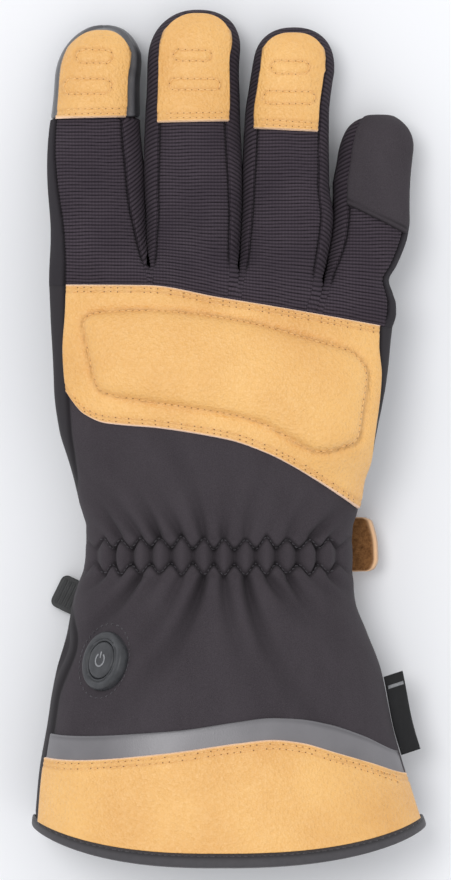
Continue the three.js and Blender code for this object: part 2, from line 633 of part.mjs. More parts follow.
// The switch: a rubber rim with a dish, and the round cap pressed in it.
function addButton() {
  const seat = seatOnBack(buttonAcross, buttonAlong);
  const rim = buttonDiameter / 2;
  const dish = buttonCapDiameter / 2 + clearance;
  const floor = buttonHeight - buttonDish;
  const housing = [
    [0, -shellWall], [rim, -shellWall], [rim, buttonHeight - 0.7], [rim - 0.8, buttonHeight],
    [dish + 0.4, buttonHeight], [dish, buttonHeight - 0.4], [dish, floor], [0, floor],
  ];
  const lathe = (profile) => new THREE.LatheGeometry(profile.map(([r, h]) => new THREE.Vector2(r, h)), 28);
  const housingGeometry = lathe(housing);
  housingGeometry.applyQuaternion(seat.turn).translate(seat.place.x, seat.place.y, seat.place.z);
  const housingSolid = toSolid(housingGeometry).subtract(shellEnvelope(clearance));
  add('button_housing', toGeometry(housingSolid), 'rubber');

  const low = floor + clearance;
  const cap = [
    [0, low], [dish - clearance, low], [dish - clearance, buttonHeight - 0.2],
    [dish - clearance - 0.6, buttonHeight + 0.2], [0, buttonHeight + 0.3],
  ];
  const capMesh = add('button_cap', lathe(cap), 'rubber');
  capMesh.position.copy(seat.place);
  capMesh.quaternion.copy(seat.turn);
}

// The clip beside the wrist, on a webbing loop that comes out from under the cuff.
// In its own frame the clip's inner end is at x = 0 and its outer end at -x.
function addClip() {
  const clip = new THREE.Group();
  const edge = bodyPoint(-1, clipAlong, 'back');
  clip.rotation.z = THREE.MathUtils.degToRad(clipTurn);
  const inward = new THREE.Vector3(clipLength - clipReach, 0, 0).applyEuler(clip.rotation);
  clip.position.set(edge.x + inward.x, edge.y + inward.y, 0);
  glove.add(clip);

  const half = clipWidth / 2;
  const nose = 2.4;
  const plate = new THREE.Shape([
    [0, -half], [0, half], [nose - clipLength, half], [-clipLength, half - nose],
    [-clipLength, nose - half], [nose - clipLength, -half],
  ].map(([x, y]) => new THREE.Vector2(x, y)));
  const slotHalf = webbingWidth / 2 + clearance;
  const slotEnd = -clipBar - clipSlot;
  plate.holes.push(new THREE.Path([
    [-clipBar, -slotHalf], [-clipBar, slotHalf], [slotEnd, slotHalf], [slotEnd, -slotHalf],
  ].map(([x, y]) => new THREE.Vector2(x, y))));
  const plateGeometry = new THREE.ExtrudeGeometry(plate, { depth: clipThickness, bevelEnabled: false });
  const mesh = add('side_clip', plateGeometry, 'plastic', clip);
  mesh.position.z = webbingThickness + clearance;

  // The loop's section: round the clip's bar, then up to the palm.
  const over = clipThickness + webbingThickness + 2 * clearance;
  const outer = -clipBar - clearance - webbingThickness;
  const top = over + webbingThickness;
  const tail = 2 * webbingThickness;
  const fold = 2; // past the bar, where the loop's two layers meet
  const loop = new THREE.Shape([
    [outer, 0], [fold, 0], [webbingReach, webbingRise],
    [webbingReach - tail, webbingRise + tail], [fold, top], [outer, top],
  ].map(([x, z]) => new THREE.Vector2(x, z)));
  loop.holes.push(new THREE.Path([
    [-clipBar - clearance, webbingThickness], [clearance, webbingThickness],
    [clearance, over], [-clipBar - clearance, over],
  ].map(([x, z]) => new THREE.Vector2(x, z))));
  const loopGeometry = new THREE.ExtrudeGeometry(loop, { depth: webbingWidth, bevelEnabled: false });
  loopGeometry.rotateX(Math.PI / 2).translate(0, webbingWidth / 2, 0);
  clip.updateMatrix();
  loopGeometry.applyMatrix4(clip.matrix);
  add('clip_loop', toGeometry(toSolid(loopGeometry).subtract(shellEnvelope(clearance))), 'webbing');
}

add('glove_body', toGeometry(toSolid(makeShell()).subtract(thumbHollow())), 'softshell');
for (const finger of fingerRows) {
  const start = clearance / finger.length;
  const point = (...place) => fingerPoint(finger, ...place);
  const outerAts = [start, ...shaftAts.slice(1), ...tipAts];
  const innerAts = [start, 0.14, 0.4, 0.75, 1, 1.4, 1.75];
  add(finger.name, makeStall(point, fingerWall, outerAts, innerAts), 'rib_knit');
}
const thumb = toSolid(makeStall(thumbPoint, fingerWall, [0, 0.3, 0.6, 1, ...tipAts], [0, 0.5, 1, 1.4, 1.75]));
add('thumb', toGeometry(thumb.subtract(shellEnvelope(clearance))), 'dark_leather');

for (const row of capRows) add(row.name, makeCap(row), row.material);
add('index_touch_cap', makeTouchCap(), 'dark_leather');
add('knuckle_panel', makeKnucklePanel(), 'tan_leather');
add('reflective_strip', makeReflectiveStrip(), 'reflective_tape');
add('cuff_leather_panel', makeCuffLeather(), 'tan_leather');
add('palm_reflective_strip', makePalmTape(), 'reflective_tape');
add('hem_binding', makeBinding(), 'binding_tape');
add('wrist_strap', makeStrap(), 'suede');
add('side_label', makeLabel(), 'webbing');
addButton();
addClip();

// The glove stands in the middle of its own box, on Z = 0.
const box = new THREE.Box3().setFromObject(glove);
const middle = box.getCenter(new THREE.Vector3());
glove.position.set(-middle.x, -middle.y, -box.min.z);

export default glove;
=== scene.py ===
# The finish of a heated gauntlet glove: shell, knit, leather, stitching and trim,
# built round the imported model. Shapes are worked out in millimetres with X = 0 in the
# middle of the wrist and Y = 0 on its gathered line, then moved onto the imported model.
import math

import bpy
import numpy as np
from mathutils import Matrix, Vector
from mathutils.bvhtree import BVHTree


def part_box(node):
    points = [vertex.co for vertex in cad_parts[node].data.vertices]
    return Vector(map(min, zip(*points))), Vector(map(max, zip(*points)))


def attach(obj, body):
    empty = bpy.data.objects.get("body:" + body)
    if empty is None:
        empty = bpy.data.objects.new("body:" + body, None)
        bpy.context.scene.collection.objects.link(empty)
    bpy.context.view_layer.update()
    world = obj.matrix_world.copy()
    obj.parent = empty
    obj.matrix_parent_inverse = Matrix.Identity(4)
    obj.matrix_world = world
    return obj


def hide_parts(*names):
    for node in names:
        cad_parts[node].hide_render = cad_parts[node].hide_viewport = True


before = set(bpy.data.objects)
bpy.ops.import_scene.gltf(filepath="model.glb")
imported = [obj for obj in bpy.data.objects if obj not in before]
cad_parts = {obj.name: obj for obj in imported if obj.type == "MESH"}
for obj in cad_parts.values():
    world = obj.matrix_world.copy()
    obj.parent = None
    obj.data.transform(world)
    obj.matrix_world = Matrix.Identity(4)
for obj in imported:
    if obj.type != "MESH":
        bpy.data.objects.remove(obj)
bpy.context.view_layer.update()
print("frame loaded:", len(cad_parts), "nodes")

millimetre = 0.001
randoms = np.random.default_rng(7)


# Numbers and curves

def mix(low, high, share):
    return low + (high - low) * share


def ease(share):
    share = np.clip(share, 0, 1)
    return share * share * (3 - 2 * share)


def bump(distance, width):
    return np.exp(-((distance / width) ** 2))


def curve(table, column, at):
    # one column of a table on a smooth curve that never swings past its rows
    places = np.array(table["at"], float)
    values = np.array(table[column], float)
    rise = np.diff(values) / np.diff(places)
    product = rise[:-1] * rise[1:]
    total = rise[:-1] + rise[1:]
    slopes = np.concatenate([
        rise[:1],
        np.where(product > 0, 2 * product / np.where(total == 0, 1, total), 0),
        rise[-1:],
    ])
    at = np.clip(at, places[0], places[-1])
    i = np.clip(np.searchsorted(places, at) - 1, 0, len(places) - 2)
    span = places[i + 1] - places[i]
    t = (at - places[i]) / span
    bend = span * t * (1 - t) * (slopes[i] * (1 - t) - slopes[i + 1] * t)
    return mix(values[i], values[i + 1], t * t * (3 - 2 * t)) + bend


def lengthsOf(line):
    # how far along a line each of its points is
    return np.concatenate([[0], np.cumsum(np.linalg.norm(np.diff(line, axis=0), axis=1))])


def pointsOn(line, places):
    # the points at these lengths along a line
    return np.stack([np.interp(places, lengthsOf(line), column) for column in line.T], 1)


def unit(vectors):
    return vectors / np.linalg.norm(vectors, axis=-1, keepdims=True)


def sidewaysOf(line):
    # the way to the left of a flat line, at each of its points
    ahead = unit(np.gradient(line, axis=0))
    return np.stack([-ahead[:, 1], ahead[:, 0]], 1)


def smoothLoop(points, count, closed=True):
    # count points, evenly spaced, on a smooth line through the given ones
    points = np.array(points, float)
    if closed:
        points = np.vstack([points[-1:], points, points[:2]])
    else:
        points = np.vstack([2 * points[0] - points[1], points, 2 * points[-1] - points[-2]])
    t = np.linspace(0, 1, 24, endpoint=False)[:, None]
    parts = []
    for a, b, c, d in zip(points[:-3], points[1:-2], points[2:-1], points[3:]):
        parts.append(0.5 * (2 * b + (c - a) * t + (2 * a - 5 * b + 4 * c - d) * t ** 2
                            + (3 * b - a - 3 * c + d) * t ** 3))
    line = np.vstack(parts + [points[-2:-1]])
    return pointsOn(line, np.linspace(0, lengthsOf(line)[-1], count, endpoint=not closed))


def outlineDistance(x, y, outline):
    # distance to a closed outline in plan, positive inside
    best = np.full(x.shape, 1e9)
    inside = np.zeros(x.shape, bool)
    for (ax, ay), (bx, by) in zip(outline, np.roll(outline, -1, 0)):
        dx, dy = bx - ax, by - ay
        t = np.clip(((x - ax) * dx + (y - ay) * dy) / (dx * dx + dy * dy), 0, 1)
        best = np.minimum(best, np.hypot(x - ax - t * dx, y - ay - t * dy))
        crosses = ((ay > y) != (by > y)) & (x < dx * (y - ay) / (by - ay + 1e-12) + ax)
        inside ^= crosses
    return np.where(inside, best, -best)


def sinColumns(count):
    # places from -1 to 1, closer at the ends, where a round section turns down
    return np.sin(np.linspace(-1, 1, count) * math.pi / 2)


def around(backCount, palmCount, even=0):
    # places over the back and home under the palm, and which of them are on the back
    back = mix(sinColumns(backCount), np.linspace(-1, 1, backCount), even)
    across = np.concatenate([back, sinColumns(palmCount)[::-1]])
    return across, np.arange(len(across)) < backCount


# The hand and cuff. Rows run along: -1 hem, 0 gathered line, 1 knuckle seam

shell = {
    "wall": 4, "handLength": 94, "knuckleDrop": 15, "cuffLength": 96,
    "backHemDip": 14, "palmHemDip": 4, "palmWidth": 120, "wristWidth": 93, "hemWidth": 136,
    "cuffHeight": 60, "thumbRoom": 20.6, "sideLip": 1, "hemLift": 1.1, "hemOffset": 0.3,
    "seamDepth": 0.55, "hemTuck": 0.25, "backColumns": 235, "palmColumns": 92,
}
sections = {
    "at": [-1, -0.82, -0.64, -0.42, -0.28, -0.16, 0, 0.1, 0.15, 0.2, 0.29, 0.37, 0.46, 0.62,
           0.82, 1],
    "thumbSide": [0.84, 0.77, 0.66, 0.49, 0.31, 0.2, 0, 0, 0.09, 0.19, 0.35, 0.51, 0.69, 0.86,
                  0.91, 0.96],
    "outerSide": [1.18, 0.92, 0.67, 0.47, 0.23, 0.05, 0, 0.02, 0.13, 0.22, 0.32, 0.5, 0.6, 0.77,
                  0.92, 1.03],
    "top": [1, 0.985, 0.96, 0.92, 0.88, 0.83, 0.77, 0.78, 0.785, 0.795, 0.81, 0.835, 0.85, 0.85,
            0.8, 0.745],
    "bottom": [-0.12, -0.12, -0.1, -0.06, 0.02, 0.14, 0.2, 0.15, 0.13, -0.12, -0.14, 0.6, 1, 1,
               0.97, 0.8],
    "side": [0.38, 0.38, 0.38, 0.38, 0.38, 0.39, 0.4, 0.41, 0.43, 0.49, 0.52, 0.38, 0.33, 0.34,
             0.37, 0.44],
}
knuckleSeam = {"at": [-1, -0.42, 0, 0.45, 1], "drop": [0, 0.02, 0.3, 0.6, 1]}


def arch(across, power, root):
    return np.maximum(0, 1 - np.abs(across) ** power) ** root


def handPoint(across, at, back, grow=0):
    across, at = np.broadcast_arrays(np.asarray(across, float), np.asarray(at, float))
    wide = np.where(at < 0, shell["hemWidth"], shell["palmWidth"]) / 2
    narrow = shell["wristWidth"] / 2
    thumbEdge = mix(narrow, wide, curve(sections, "thumbSide", at)) + grow
    outerEdge = mix(narrow, wide, curve(sections, "outerSide", at)) + grow
    x = across * np.where(across < 0, thumbEdge, outerEdge)
    dip = np.where(back, shell["backHemDip"], shell["palmHemDip"]) * arch(across, 2.5, 0.75)
    drop = shell["knuckleDrop"] * curve(knuckleSeam, "drop", across)
    y = np.where(at < 0, shell["cuffLength"] * at - dip * at ** 2,
                 shell["handLength"] * at - drop * at ** 2)
    top = shell["cuffHeight"] * curve(sections, "top", at)
    bottom = shell["thumbRoom"] * curve(sections, "bottom", at)
    side = mix(bottom, top, curve(sections, "side", at))
    lip = shell["sideLip"]
    z = np.where(
        back,
        side + lip + (top + grow - side - lip) * arch(across, 2.5, 0.5),
        side - lip - (side - bottom + grow - lip) * arch(across, 4, 0.5))
    lift = shell["hemLift"] * (1 - ease((at + 0.84) / 0.04))
    return np.stack([x, y, np.maximum(lift - grow, z)], -1)


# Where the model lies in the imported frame
def findShift():
    at = np.linspace(-1, 1, 400)
    edge = np.concatenate([handPoint(side, at, True) for side in (-1, 1)])
    hem = handPoint(0, -1, True)[1]
    low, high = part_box("glove_body")
    return np.array([
        (low.x + high.x) / 2 / millimetre - (edge[:, 0].min() + edge[:, 0].max()) / 2,
        low.y / millimetre - hem - shell["hemOffset"],
        0,
    ])


shift = findShift()
print("shift onto the packed model, in mm:", shift.round(3))


# Making pieces

def addObject(name, data):
    made = bpy.data.objects.new(name, data)
    bpy.context.scene.collection.objects.link(made)
    return made


def addPiece(name, points, faces, material, smooth=True):
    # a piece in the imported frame, from points in mm
    mesh = bpy.data.meshes.new(name)
    mesh.from_pydata(((np.array(points) + shift) * millimetre).tolist(), [], faces)
    mesh.polygons.foreach_set("use_smooth", np.full(len(mesh.polygons), smooth))
    mesh.materials.append(material)
    return addObject(name, mesh)


def addMesh(name, points, faces, material, layers=None, smooth=True):
    # a closed piece with its faces turned outward, from one or more arrays of faces
    points = np.asarray(points, float).reshape(-1, 3)
    volume = 0
    for part in faces:
        for k in range(1, part.shape[1] - 1):
            a, b, c = (points[part[:, i]] for i in (0, k, k + 1))
            volume += np.einsum("ij,ij->i", a, np.cross(b, c)).sum()
    if volume < 0:
        faces = [part[:, ::-1] for part in faces]
    piece = addPiece(name, points, [face for part in faces for face in part.tolist()], material,
                     smooth)
    for key, values in (layers or {}).items():
        values = np.asarray(values, np.float32)
        kind, field = ("FLOAT", "value") if values.ndim == 1 else ("FLOAT_VECTOR", "vector")
        piece.data.attributes.new(key, kind, "POINT").data.foreach_set(field, values.ravel())
    return piece


def fit(piece, slot, *nodes):
    # the piece rides on the glove's one body and stands for these nodes
    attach(piece, "root")
    if nodes:
        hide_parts(*nodes)
    return piece


def gridFaces(rows, columns, around=False, start=0):
    row = np.arange(rows - 1)[:, None]
    column = np.arange(columns if around else columns - 1)[None, :]
    after = (column + 1) % columns
    quads = np.stack(np.broadcast_arrays(
        row * columns + column, row * columns + after,
        (row + 1) * columns + after, (row + 1) * columns + column), -1)
    return quads.reshape(-1, 4) + start


def normalsOf(grid, around):
    along = np.gradient(grid, axis=0)
    if around:
        over = np.roll(grid, -1, 1) - np.roll(grid, 1, 1)
    else:
        over = np.gradient(grid, axis=1)
    normals = np.cross(over, along)
    return normals / np.maximum(np.linalg.norm(normals, axis=-1, keepdims=True), 1e-9)


def ringStack(rings, closed=False, ends=False):
    # faces that join rings, and fans that close both ends
    rows, columns = rings.shape[:2]
    parts = [gridFaces(rows, columns, around=True)]
    if closed:
        last = (rows - 1) * columns
        i = np.arange(columns)
        j = (i + 1) % columns
        parts.append(np.stack([last + i, last + j, j, i], 1))
    points = rings.reshape(-1, 3)
    if ends:
        for row, turn in ((0, -1), (rows - 1, 1)):
            points = np.vstack([points, rings[row].mean(0)])
            i = row * columns + np.arange(columns)
            fan = np.stack([i, np.roll(i, -1), np.full(columns, len(points) - 1)], 1)
            parts.append(fan[:, ::turn])
    return points, parts


def slab(name, over, under, material, layers=None):
    # a closed sheet from two grids with the same rows and columns
    rows, columns = over.shape[:2]
    count = rows * columns
    top = gridFaces(rows, columns)
    bottom = gridFaces(rows, columns, start=count)[:, ::-1]
    index = np.arange(count).reshape(rows, columns)
    rim = np.concatenate([index[0, :-1], index[:-1, -1], index[-1, :0:-1], index[:0:-1, 0]])
    after = np.roll(rim, -1)
    wall = np.stack([after, rim, rim + count, after + count], 1)
    points = np.vstack([over.reshape(-1, 3), under.reshape(-1, 3)])
    both = {key: np.concatenate([values.reshape(count, *values.shape[2:])] * 2)
            for key, values in (layers or {}).items()}
    return addMesh(name, points, [top, bottom, wall], material, both)


def lengthsAlong(grid, axis):
    # how far each point of a grid is from its first and its last row or column, in mm
    steps = np.linalg.norm(np.diff(grid, axis=axis), axis=-1)
    pad = [(0, 0), (0, 0)]
    pad[axis] = (1, 0)
    walked = np.pad(np.cumsum(steps, axis=axis), pad)
    whole = walked.take([-1], axis=axis)
    return walked, whole - walked


def edgeLengths(grid):
    # how far each point is from the first row, the last row and the nearest edge of a sheet
    walked, left = lengthsAlong(grid, 0)
    return walked, left, np.minimum.reduce([walked, left, *lengthsAlong(grid, 1)])


def edgeShares(length, middle, fine=(0, 0.25, 0.6, 1.1, 1.7, 2.4, 3.2, 4.2)):
    # shares of a length with close steps at both ends, in mm, and middle steps between them
    start = np.array(fine) / length
    inner = np.linspace(start[-1], 1 - start[-1], middle)[1:-1]
    return np.concatenate([start, inner, 1 - start[::-1]])


# Materials

def colour(red, green, blue):
    # the surface's own colour from one measured on a screen
    values = np.array([red, green, blue]) / 255
    linear = np.where(values <= 0.04045, values / 12.92, ((values + 0.055) / 1.055) ** 2.4)
    return (*linear.tolist(), 1)


class Finish:
    # a material's nodes, added one after another

    def __init__(self, name, roughness, **sockets):
        self.material = bpy.data.materials.new(name)
        self.material.use_nodes = True
        self.tree = self.material.node_tree
        self.shader = self.tree.nodes["Principled BSDF"]
        self.shader.inputs["Roughness"].default_value = roughness
        for key, value in sockets.items():
            self.shader.inputs[key.replace("_", " ")].default_value = value

    def node(self, kind, **settings):
        made = self.tree.nodes.new(kind)
        for key, value in settings.items():
            setattr(made, key, value)
        return made

    def link(self, source, target):
        self.tree.links.new(source, target)

    def feed(self, target, value):
        if isinstance(value, bpy.types.NodeSocket):
            self.link(value, target)
        else:
            target.default_value = value

    def place(self, scale=(1, 1, 1)):
        made = self.node("ShaderNodeMapping")
        made.inputs["Scale"].default_value = scale
        self.link(self.node("ShaderNodeTexCoord").outputs["Object"], made.inputs["Vector"])
        return made.outputs["Vector"]

    def layer(self, name, vector=False):
        made = self.node("ShaderNodeAttribute", attribute_name=name)
        return made.outputs["Vector" if vector else "Fac"]

    def noise(self, perMetre, detail=3, roughness=0.5, vector=None):
        made = self.node("ShaderNodeTexNoise")
        made.inputs["Scale"].default_value = perMetre
        made.inputs["Detail"].default_value = detail
        made.inputs["Roughness"].default_value = roughness
        self.link(vector or self.place(), made.inputs["Vector"])
        return made.outputs["Fac"]

    def cells(self, perMetre):
        made = self.node("ShaderNodeTexVoronoi")
        made.inputs["Scale"].default_value = perMetre
        self.link(self.place(), made.inputs["Vector"])
        return made.outputs["Distance"]

    def weave(self, scale, distortion):
        # bands across a woven or knitted piece's own directions
        made = self.node("ShaderNodeTexWave", wave_type="BANDS", bands_direction="X")
        made.inputs["Scale"].default_value = scale
        made.inputs["Distortion"].default_value = distortion
        self.link(self.layer("weave", True), made.inputs["Vector"])
        return made.outputs["Fac"]

    def ramp(self, value, *stops):
        made = self.node("ShaderNodeValToRGB")
        self.link(value, made.inputs["Fac"])
        steps = made.color_ramp.elements
        while len(steps) < len(stops):
            steps.new(0.5)
        for step, (place, tone) in zip(steps, stops):
            step.position = place
            step.color = tone if isinstance(tone, tuple) else (tone, tone, tone, 1)
        return made.outputs["Color"]

    def reckon(self, operation, first, second):
        made = self.node("ShaderNodeMath", operation=operation)
        self.feed(made.inputs[0], first)
        self.feed(made.inputs[1], second)
        return made.outputs["Value"]

    def blend(self, share, first, second):
        made = self.node("ShaderNodeMix", data_type="RGBA")
        self.feed(made.inputs["Factor"], share)
        self.feed(made.inputs["A"], first)
        self.feed(made.inputs["B"], second)
        return made.outputs["Result"]

    def mottle(self, pattern, tone, other, start=0.3, end=0.7, most=1.0):
        # patches of another tone, where the pattern passes from start to end
        return self.blend(self.ramp(pattern, (start, 0.0), (end, most)), tone, other)

    def tint(self, layer, tone, other):
        return self.blend(self.layer(layer), tone, other)

    def relief(self, height, distance, strength=1, under=None):
        made = self.node("ShaderNodeBump")
        made.inputs["Strength"].default_value = strength
        made.inputs["Distance"].default_value = distance
        self.link(height, made.inputs["Height"])
        if under:
            self.link(under, made.inputs["Normal"])
        return made.outputs["Normal"]

    def finish(self, base=None, normal=None, roughness=None):
        for key, value in (("Base Color", base), ("Normal", normal), ("Roughness", roughness)):
            if value is not None:
                self.feed(self.shader.inputs[key], value)
        return self.material


def makeTanLeather():
    leather = Finish("tan_leather", 0.42, Sheen_Weight=0.08, Specular_IOR_Level=0.6)
    fine, creases = leather.noise(900, 3, 0.6), leather.cells(720)
    tone = leather.mottle(leather.noise(30), colour(243, 190, 113), colour(226, 168, 92), 0.3, 0.72)
    tone = leather.mottle(fine, tone, colour(222, 158, 80), 0.35, 0.8, 0.16)
    tone = leather.tint("seam", tone, colour(178, 116, 54))
    tone = leather.tint("edge", tone, colour(255, 220, 198))
    tone = leather.mottle(creases, tone, colour(255, 214, 156), 0.35, 0.75, 0.12)
    normal = leather.relief(leather.cells(1250), 0.0003, 0.8)
    normal = leather.relief(creases, 0.0003, 0.5, normal)
    normal = leather.relief(leather.noise(55, 2), 0.0022, 0.5, normal)
    return leather.finish(tone, normal, leather.ramp(fine, (0.2, 0.38), (0.8, 0.54)))


def makeSoftshell():
    cloth = Finish("softshell", 0.85, Sheen_Weight=0.04, Sheen_Roughness=0.5,
                   Specular_IOR_Level=0.16)
    streaks = cloth.noise(60, 4, 0.6, cloth.place((1, 0.35, 1)))
    grain = cloth.noise(2600, 2, 0.7)
    tone = cloth.mottle(streaks, colour(51, 46, 50), colour(61, 56, 60))
    tone = cloth.mottle(grain, tone, colour(80, 74, 79), 0.3, 0.8, 0.6)
    tone = cloth.tint("palmSide", tone, colour(52, 49, 52))
    # darker along seams and stitched rows, with painted shade in the gathers' folds, between the
    # puffs and along the little cap's edge
    tone = cloth.tint("seam", tone, colour(20, 17, 20))
    return cloth.finish(tone, cloth.relief(grain, 0.00008, 0.6))


def makeRibKnit():
    cloth = Finish("rib_knit", 0.9, Sheen_Weight=0.02, Specular_IOR_Level=0.12)
    ticks = cloth.weave(0.62, 0.6)
    # painted light and shade on the ribs: the crowns painted light, the grooves between them
    # painted near black
    paintedRibLight = cloth.reckon("MULTIPLY", cloth.layer("ridge"),
                         cloth.ramp(ticks, (0.15, 0.4), (0.85, 1.0)))
    tone = cloth.blend(paintedRibLight, colour(1, 1, 2), colour(90, 80, 89))
    tone = cloth.mottle(cloth.noise(70), tone, colour(40, 34, 42), 0.35, 0.75, 0.35)
    tone = cloth.tint("palmSide", tone, colour(52, 49, 53))
    # darker along the seams, with painted shade in the crotches between the fingers
    tone = cloth.tint("seam", tone, colour(17, 14, 17))
    return cloth.finish(tone, cloth.relief(ticks, 0.00012, 0.6))


def makeDarkLeather():
    leather = Finish("dark_leather", 0.38, Specular_IOR_Level=0.5, Coat_Weight=0.15,
                     Coat_Roughness=0.3)
    tone = leather.mottle(leather.noise(90, 4), colour(74, 74, 77), colour(108, 108, 111))
    tone = leather.tint("seam", tone, colour(22, 21, 22))
    tone = leather.tint("edge", tone, colour(40, 39, 40))
    normal = leather.relief(leather.cells(1300), 0.0001, 0.5)
    return leather.finish(tone, leather.relief(leather.noise(200, 4), 0.0004, 0.35, normal))


def makeSuede():
    suede = Finish("suede", 0.95, Sheen_Weight=0.5, Sheen_Roughness=0.4, Specular_IOR_Level=0.15)
    nap = suede.noise(700, 5, 0.75)
    tone = suede.mottle(nap, colour(92, 58, 30), colour(152, 106, 64))
    tone = suede.tint("edge", tone, colour(232, 188, 146))
    return suede.finish(tone, suede.relief(nap, 0.0003, 0.8))


def makeTape(name, dark, light, scale, depth):
    tape = Finish(name, 0.7, Sheen_Weight=0.1, Specular_IOR_Level=0.3)
    share = tape.reckon("ADD", tape.reckon("MULTIPLY", tape.weave(scale, 0.4), 0.6),
                        tape.reckon("MULTIPLY", tape.noise(500, 4), 0.5))
    seam = (*(0.35 * part for part in dark[:3]), 1)
    tone = tape.tint("seam", tape.blend(share, dark, light), seam)
    return tape.finish(tone, tape.relief(share, depth, 0.7))


def makeReflective():
    tape = Finish("reflective_tape", 0.36, Specular_IOR_Level=0.6, Metallic=0.12)
    tone = tape.mottle(tape.noise(90, 4), colour(112, 110, 113), colour(120, 118, 121))
    tone = tape.tint("seam", tone, colour(70, 69, 72))
    tone = tape.tint("edge", tone, colour(96, 95, 98))
    return tape.finish(tone, tape.relief(tape.cells(2200), 0.00006, 0.5))


def makeMoulded(name, dark, light, roughness, grain):
    # rubber and plastic with a fine moulded grain
    moulded = Finish(name, roughness, Specular_IOR_Level=0.45)
    tone = moulded.tint("seam", moulded.mottle(moulded.noise(260), dark, light),
                        colour(20, 20, 21))
    return moulded.finish(tone, moulded.relief(moulded.noise(grain, 2), 0.00008, 0.6))


def makeThread(name, dark, light):
    thread = Finish(name, 0.6, Sheen_Weight=0.2)
    tone = thread.mottle(thread.noise(1500, 2), dark, light)
    return thread.finish(tone, thread.relief(thread.noise(3000, 2), 0.0001, 0.6))


materials = {
    "tanLeather": makeTanLeather(),
    "softshell": makeSoftshell(),
    "ribKnit": makeRibKnit(),
    "darkLeather": makeDarkLeather(),
    "suede": makeSuede(),
    "reflective": makeReflective(),
    "binding": makeTape("binding_tape", colour(58, 56, 59), colour(84, 82, 85), 0.9, 0.0001),
    "webbing": makeTape("webbing", colour(20, 20, 21), colour(58, 58, 60), 0.3, 0.0004),
    "label": makeTape("woven_label", colour(14, 14, 15), colour(34, 34, 36), 0.9, 0.0001),
    "rubber": makeMoulded("rubber", colour(46, 47, 50), colour(62, 63, 66), 0.42, 2400),
    "plastic": makeMoulded("plastic", colour(24, 25, 26), colour(40, 41, 42), 0.38, 1800),
    "tanThread": makeThread("tan_thread", colour(232, 176, 104), colour(246, 200, 132)),
    "darkThread": makeThread("dark_thread", colour(34, 31, 35), colour(74, 70, 76)),
    # the stitch holes painted dark brown: painted shade inside each hole
    "hole": makeThread("stitch_hole_shade", colour(132, 80, 34), colour(160, 102, 50)),
    "paleMark": makeThread("pale_mark", colour(120, 121, 124), colour(146, 147, 150)),
}
print("materials made:", len(materials))


# Stitching, laid on a piece that is already there

threads = {"pitch": 2.3, "length": 1.6, "width": 0.42, "hole": 0.25, "sides": 6}
threadProfile = [(-0.5, 0.35, -0.2), (-0.38, 0.85, 0.05), (0, 1, 0.22), (0.38, 0.85, 0.05),
                 (0.5, 0.35, -0.2)]  # place by length, girth and rise by width


def treeOf(piece):
    return BVHTree.FromPolygons([vertex.co.copy() for vertex in piece.data.vertices],
                                [list(face.vertices) for face in piece.data.polygons])


def dropOn(tree, x, y):
    # where a line straight down meets a piece: the place in mm and the way out
    start = Vector(((x + shift[0]) * millimetre, (y + shift[1]) * millimetre, 0.2))
    place, normal, _, _ = tree.ray_cast(start, Vector((0, 0, -1)))
    if place is None:
        return None
    if normal.z < 0:
        normal = -normal
    return np.array(place) / millimetre - shift, np.array(normal)


def spaced(path, pitch, closed):
    # the middles of even steps of about a pitch
    path = np.array(path, float)
    if closed:
        path = np.vstack([path, path[:1]])
    whole = lengthsOf(path)[-1]
    count = max(2, int(round(whole / pitch)))
    return pointsOn(path, (np.arange(count) + 0.5) * whole / count)


def layStitches(name, piece, paths, material, slot, holes=True, **changes):
    # one thread over the piece for each step of each path, and a small cone painted dark as the
    # shade in the hole that it goes into
    tree = treeOf(piece)
    size = dict(threads, **changes)
    sides, radius = size["sides"], size["width"] / 2
    turns = np.arange(sides) * 2 * math.pi / sides
    points, faces, holeFaces = [], [], []
    for path, closed in paths:
        marks = spaced(path, size["pitch"], closed)
        ahead = np.roll(marks, -1, 0) - np.roll(marks, 1, 0)
        if not closed:
            ahead[0], ahead[-1] = marks[1] - marks[0], marks[-1] - marks[-2]
        for (x, y), way in zip(marks, unit(ahead)):
            found = dropOn(tree, x, y)
            if found is None:
                continue
            centre, normal = found
            along = np.array([*way, 0])
            along -= normal * along.dot(normal)
            if np.linalg.norm(along) < 0.2:
                continue
            along = unit(along)
            over = np.cross(normal, along)
            start = len(points)
            for place, girth, rise in threadProfile:
                for turn in turns:
                    points.append(centre + along * place * size["length"]
                                  + over * math.cos(turn) * radius * girth
                                  + normal * (math.sin(turn) * radius * girth + rise * radius * 2))
            faces += gridFaces(len(threadProfile), sides, True, start).tolist()
            faces += [list(range(start, start + sides))[::-1],
                      list(range(len(points) - sides, len(points)))]
            if holes:
                ring = list(range(len(points), len(points) + sides))
                centre = centre + along * size["pitch"] / 2 + normal * 0.03
                points += [centre + size["hole"] * (along * math.cos(turn) + over * math.sin(turn))
                           for turn in turns]
                points.append(centre - normal * 0.3)
                holeFaces.append(ring)
                holeFaces += [[b, a, len(points) - 1] for a, b in zip(ring, ring[1:] + ring[:1])]
    stitches = addPiece(name, points, faces + holeFaces, material)
    if holes:
        stitches.data.materials.append(materials["hole"])
        stitches.data.polygons.foreach_set(
            "material_index", [0] * len(faces) + [1] * len(holeFaces))
    return fit(stitches, slot)


# The shell with its gathered wrist

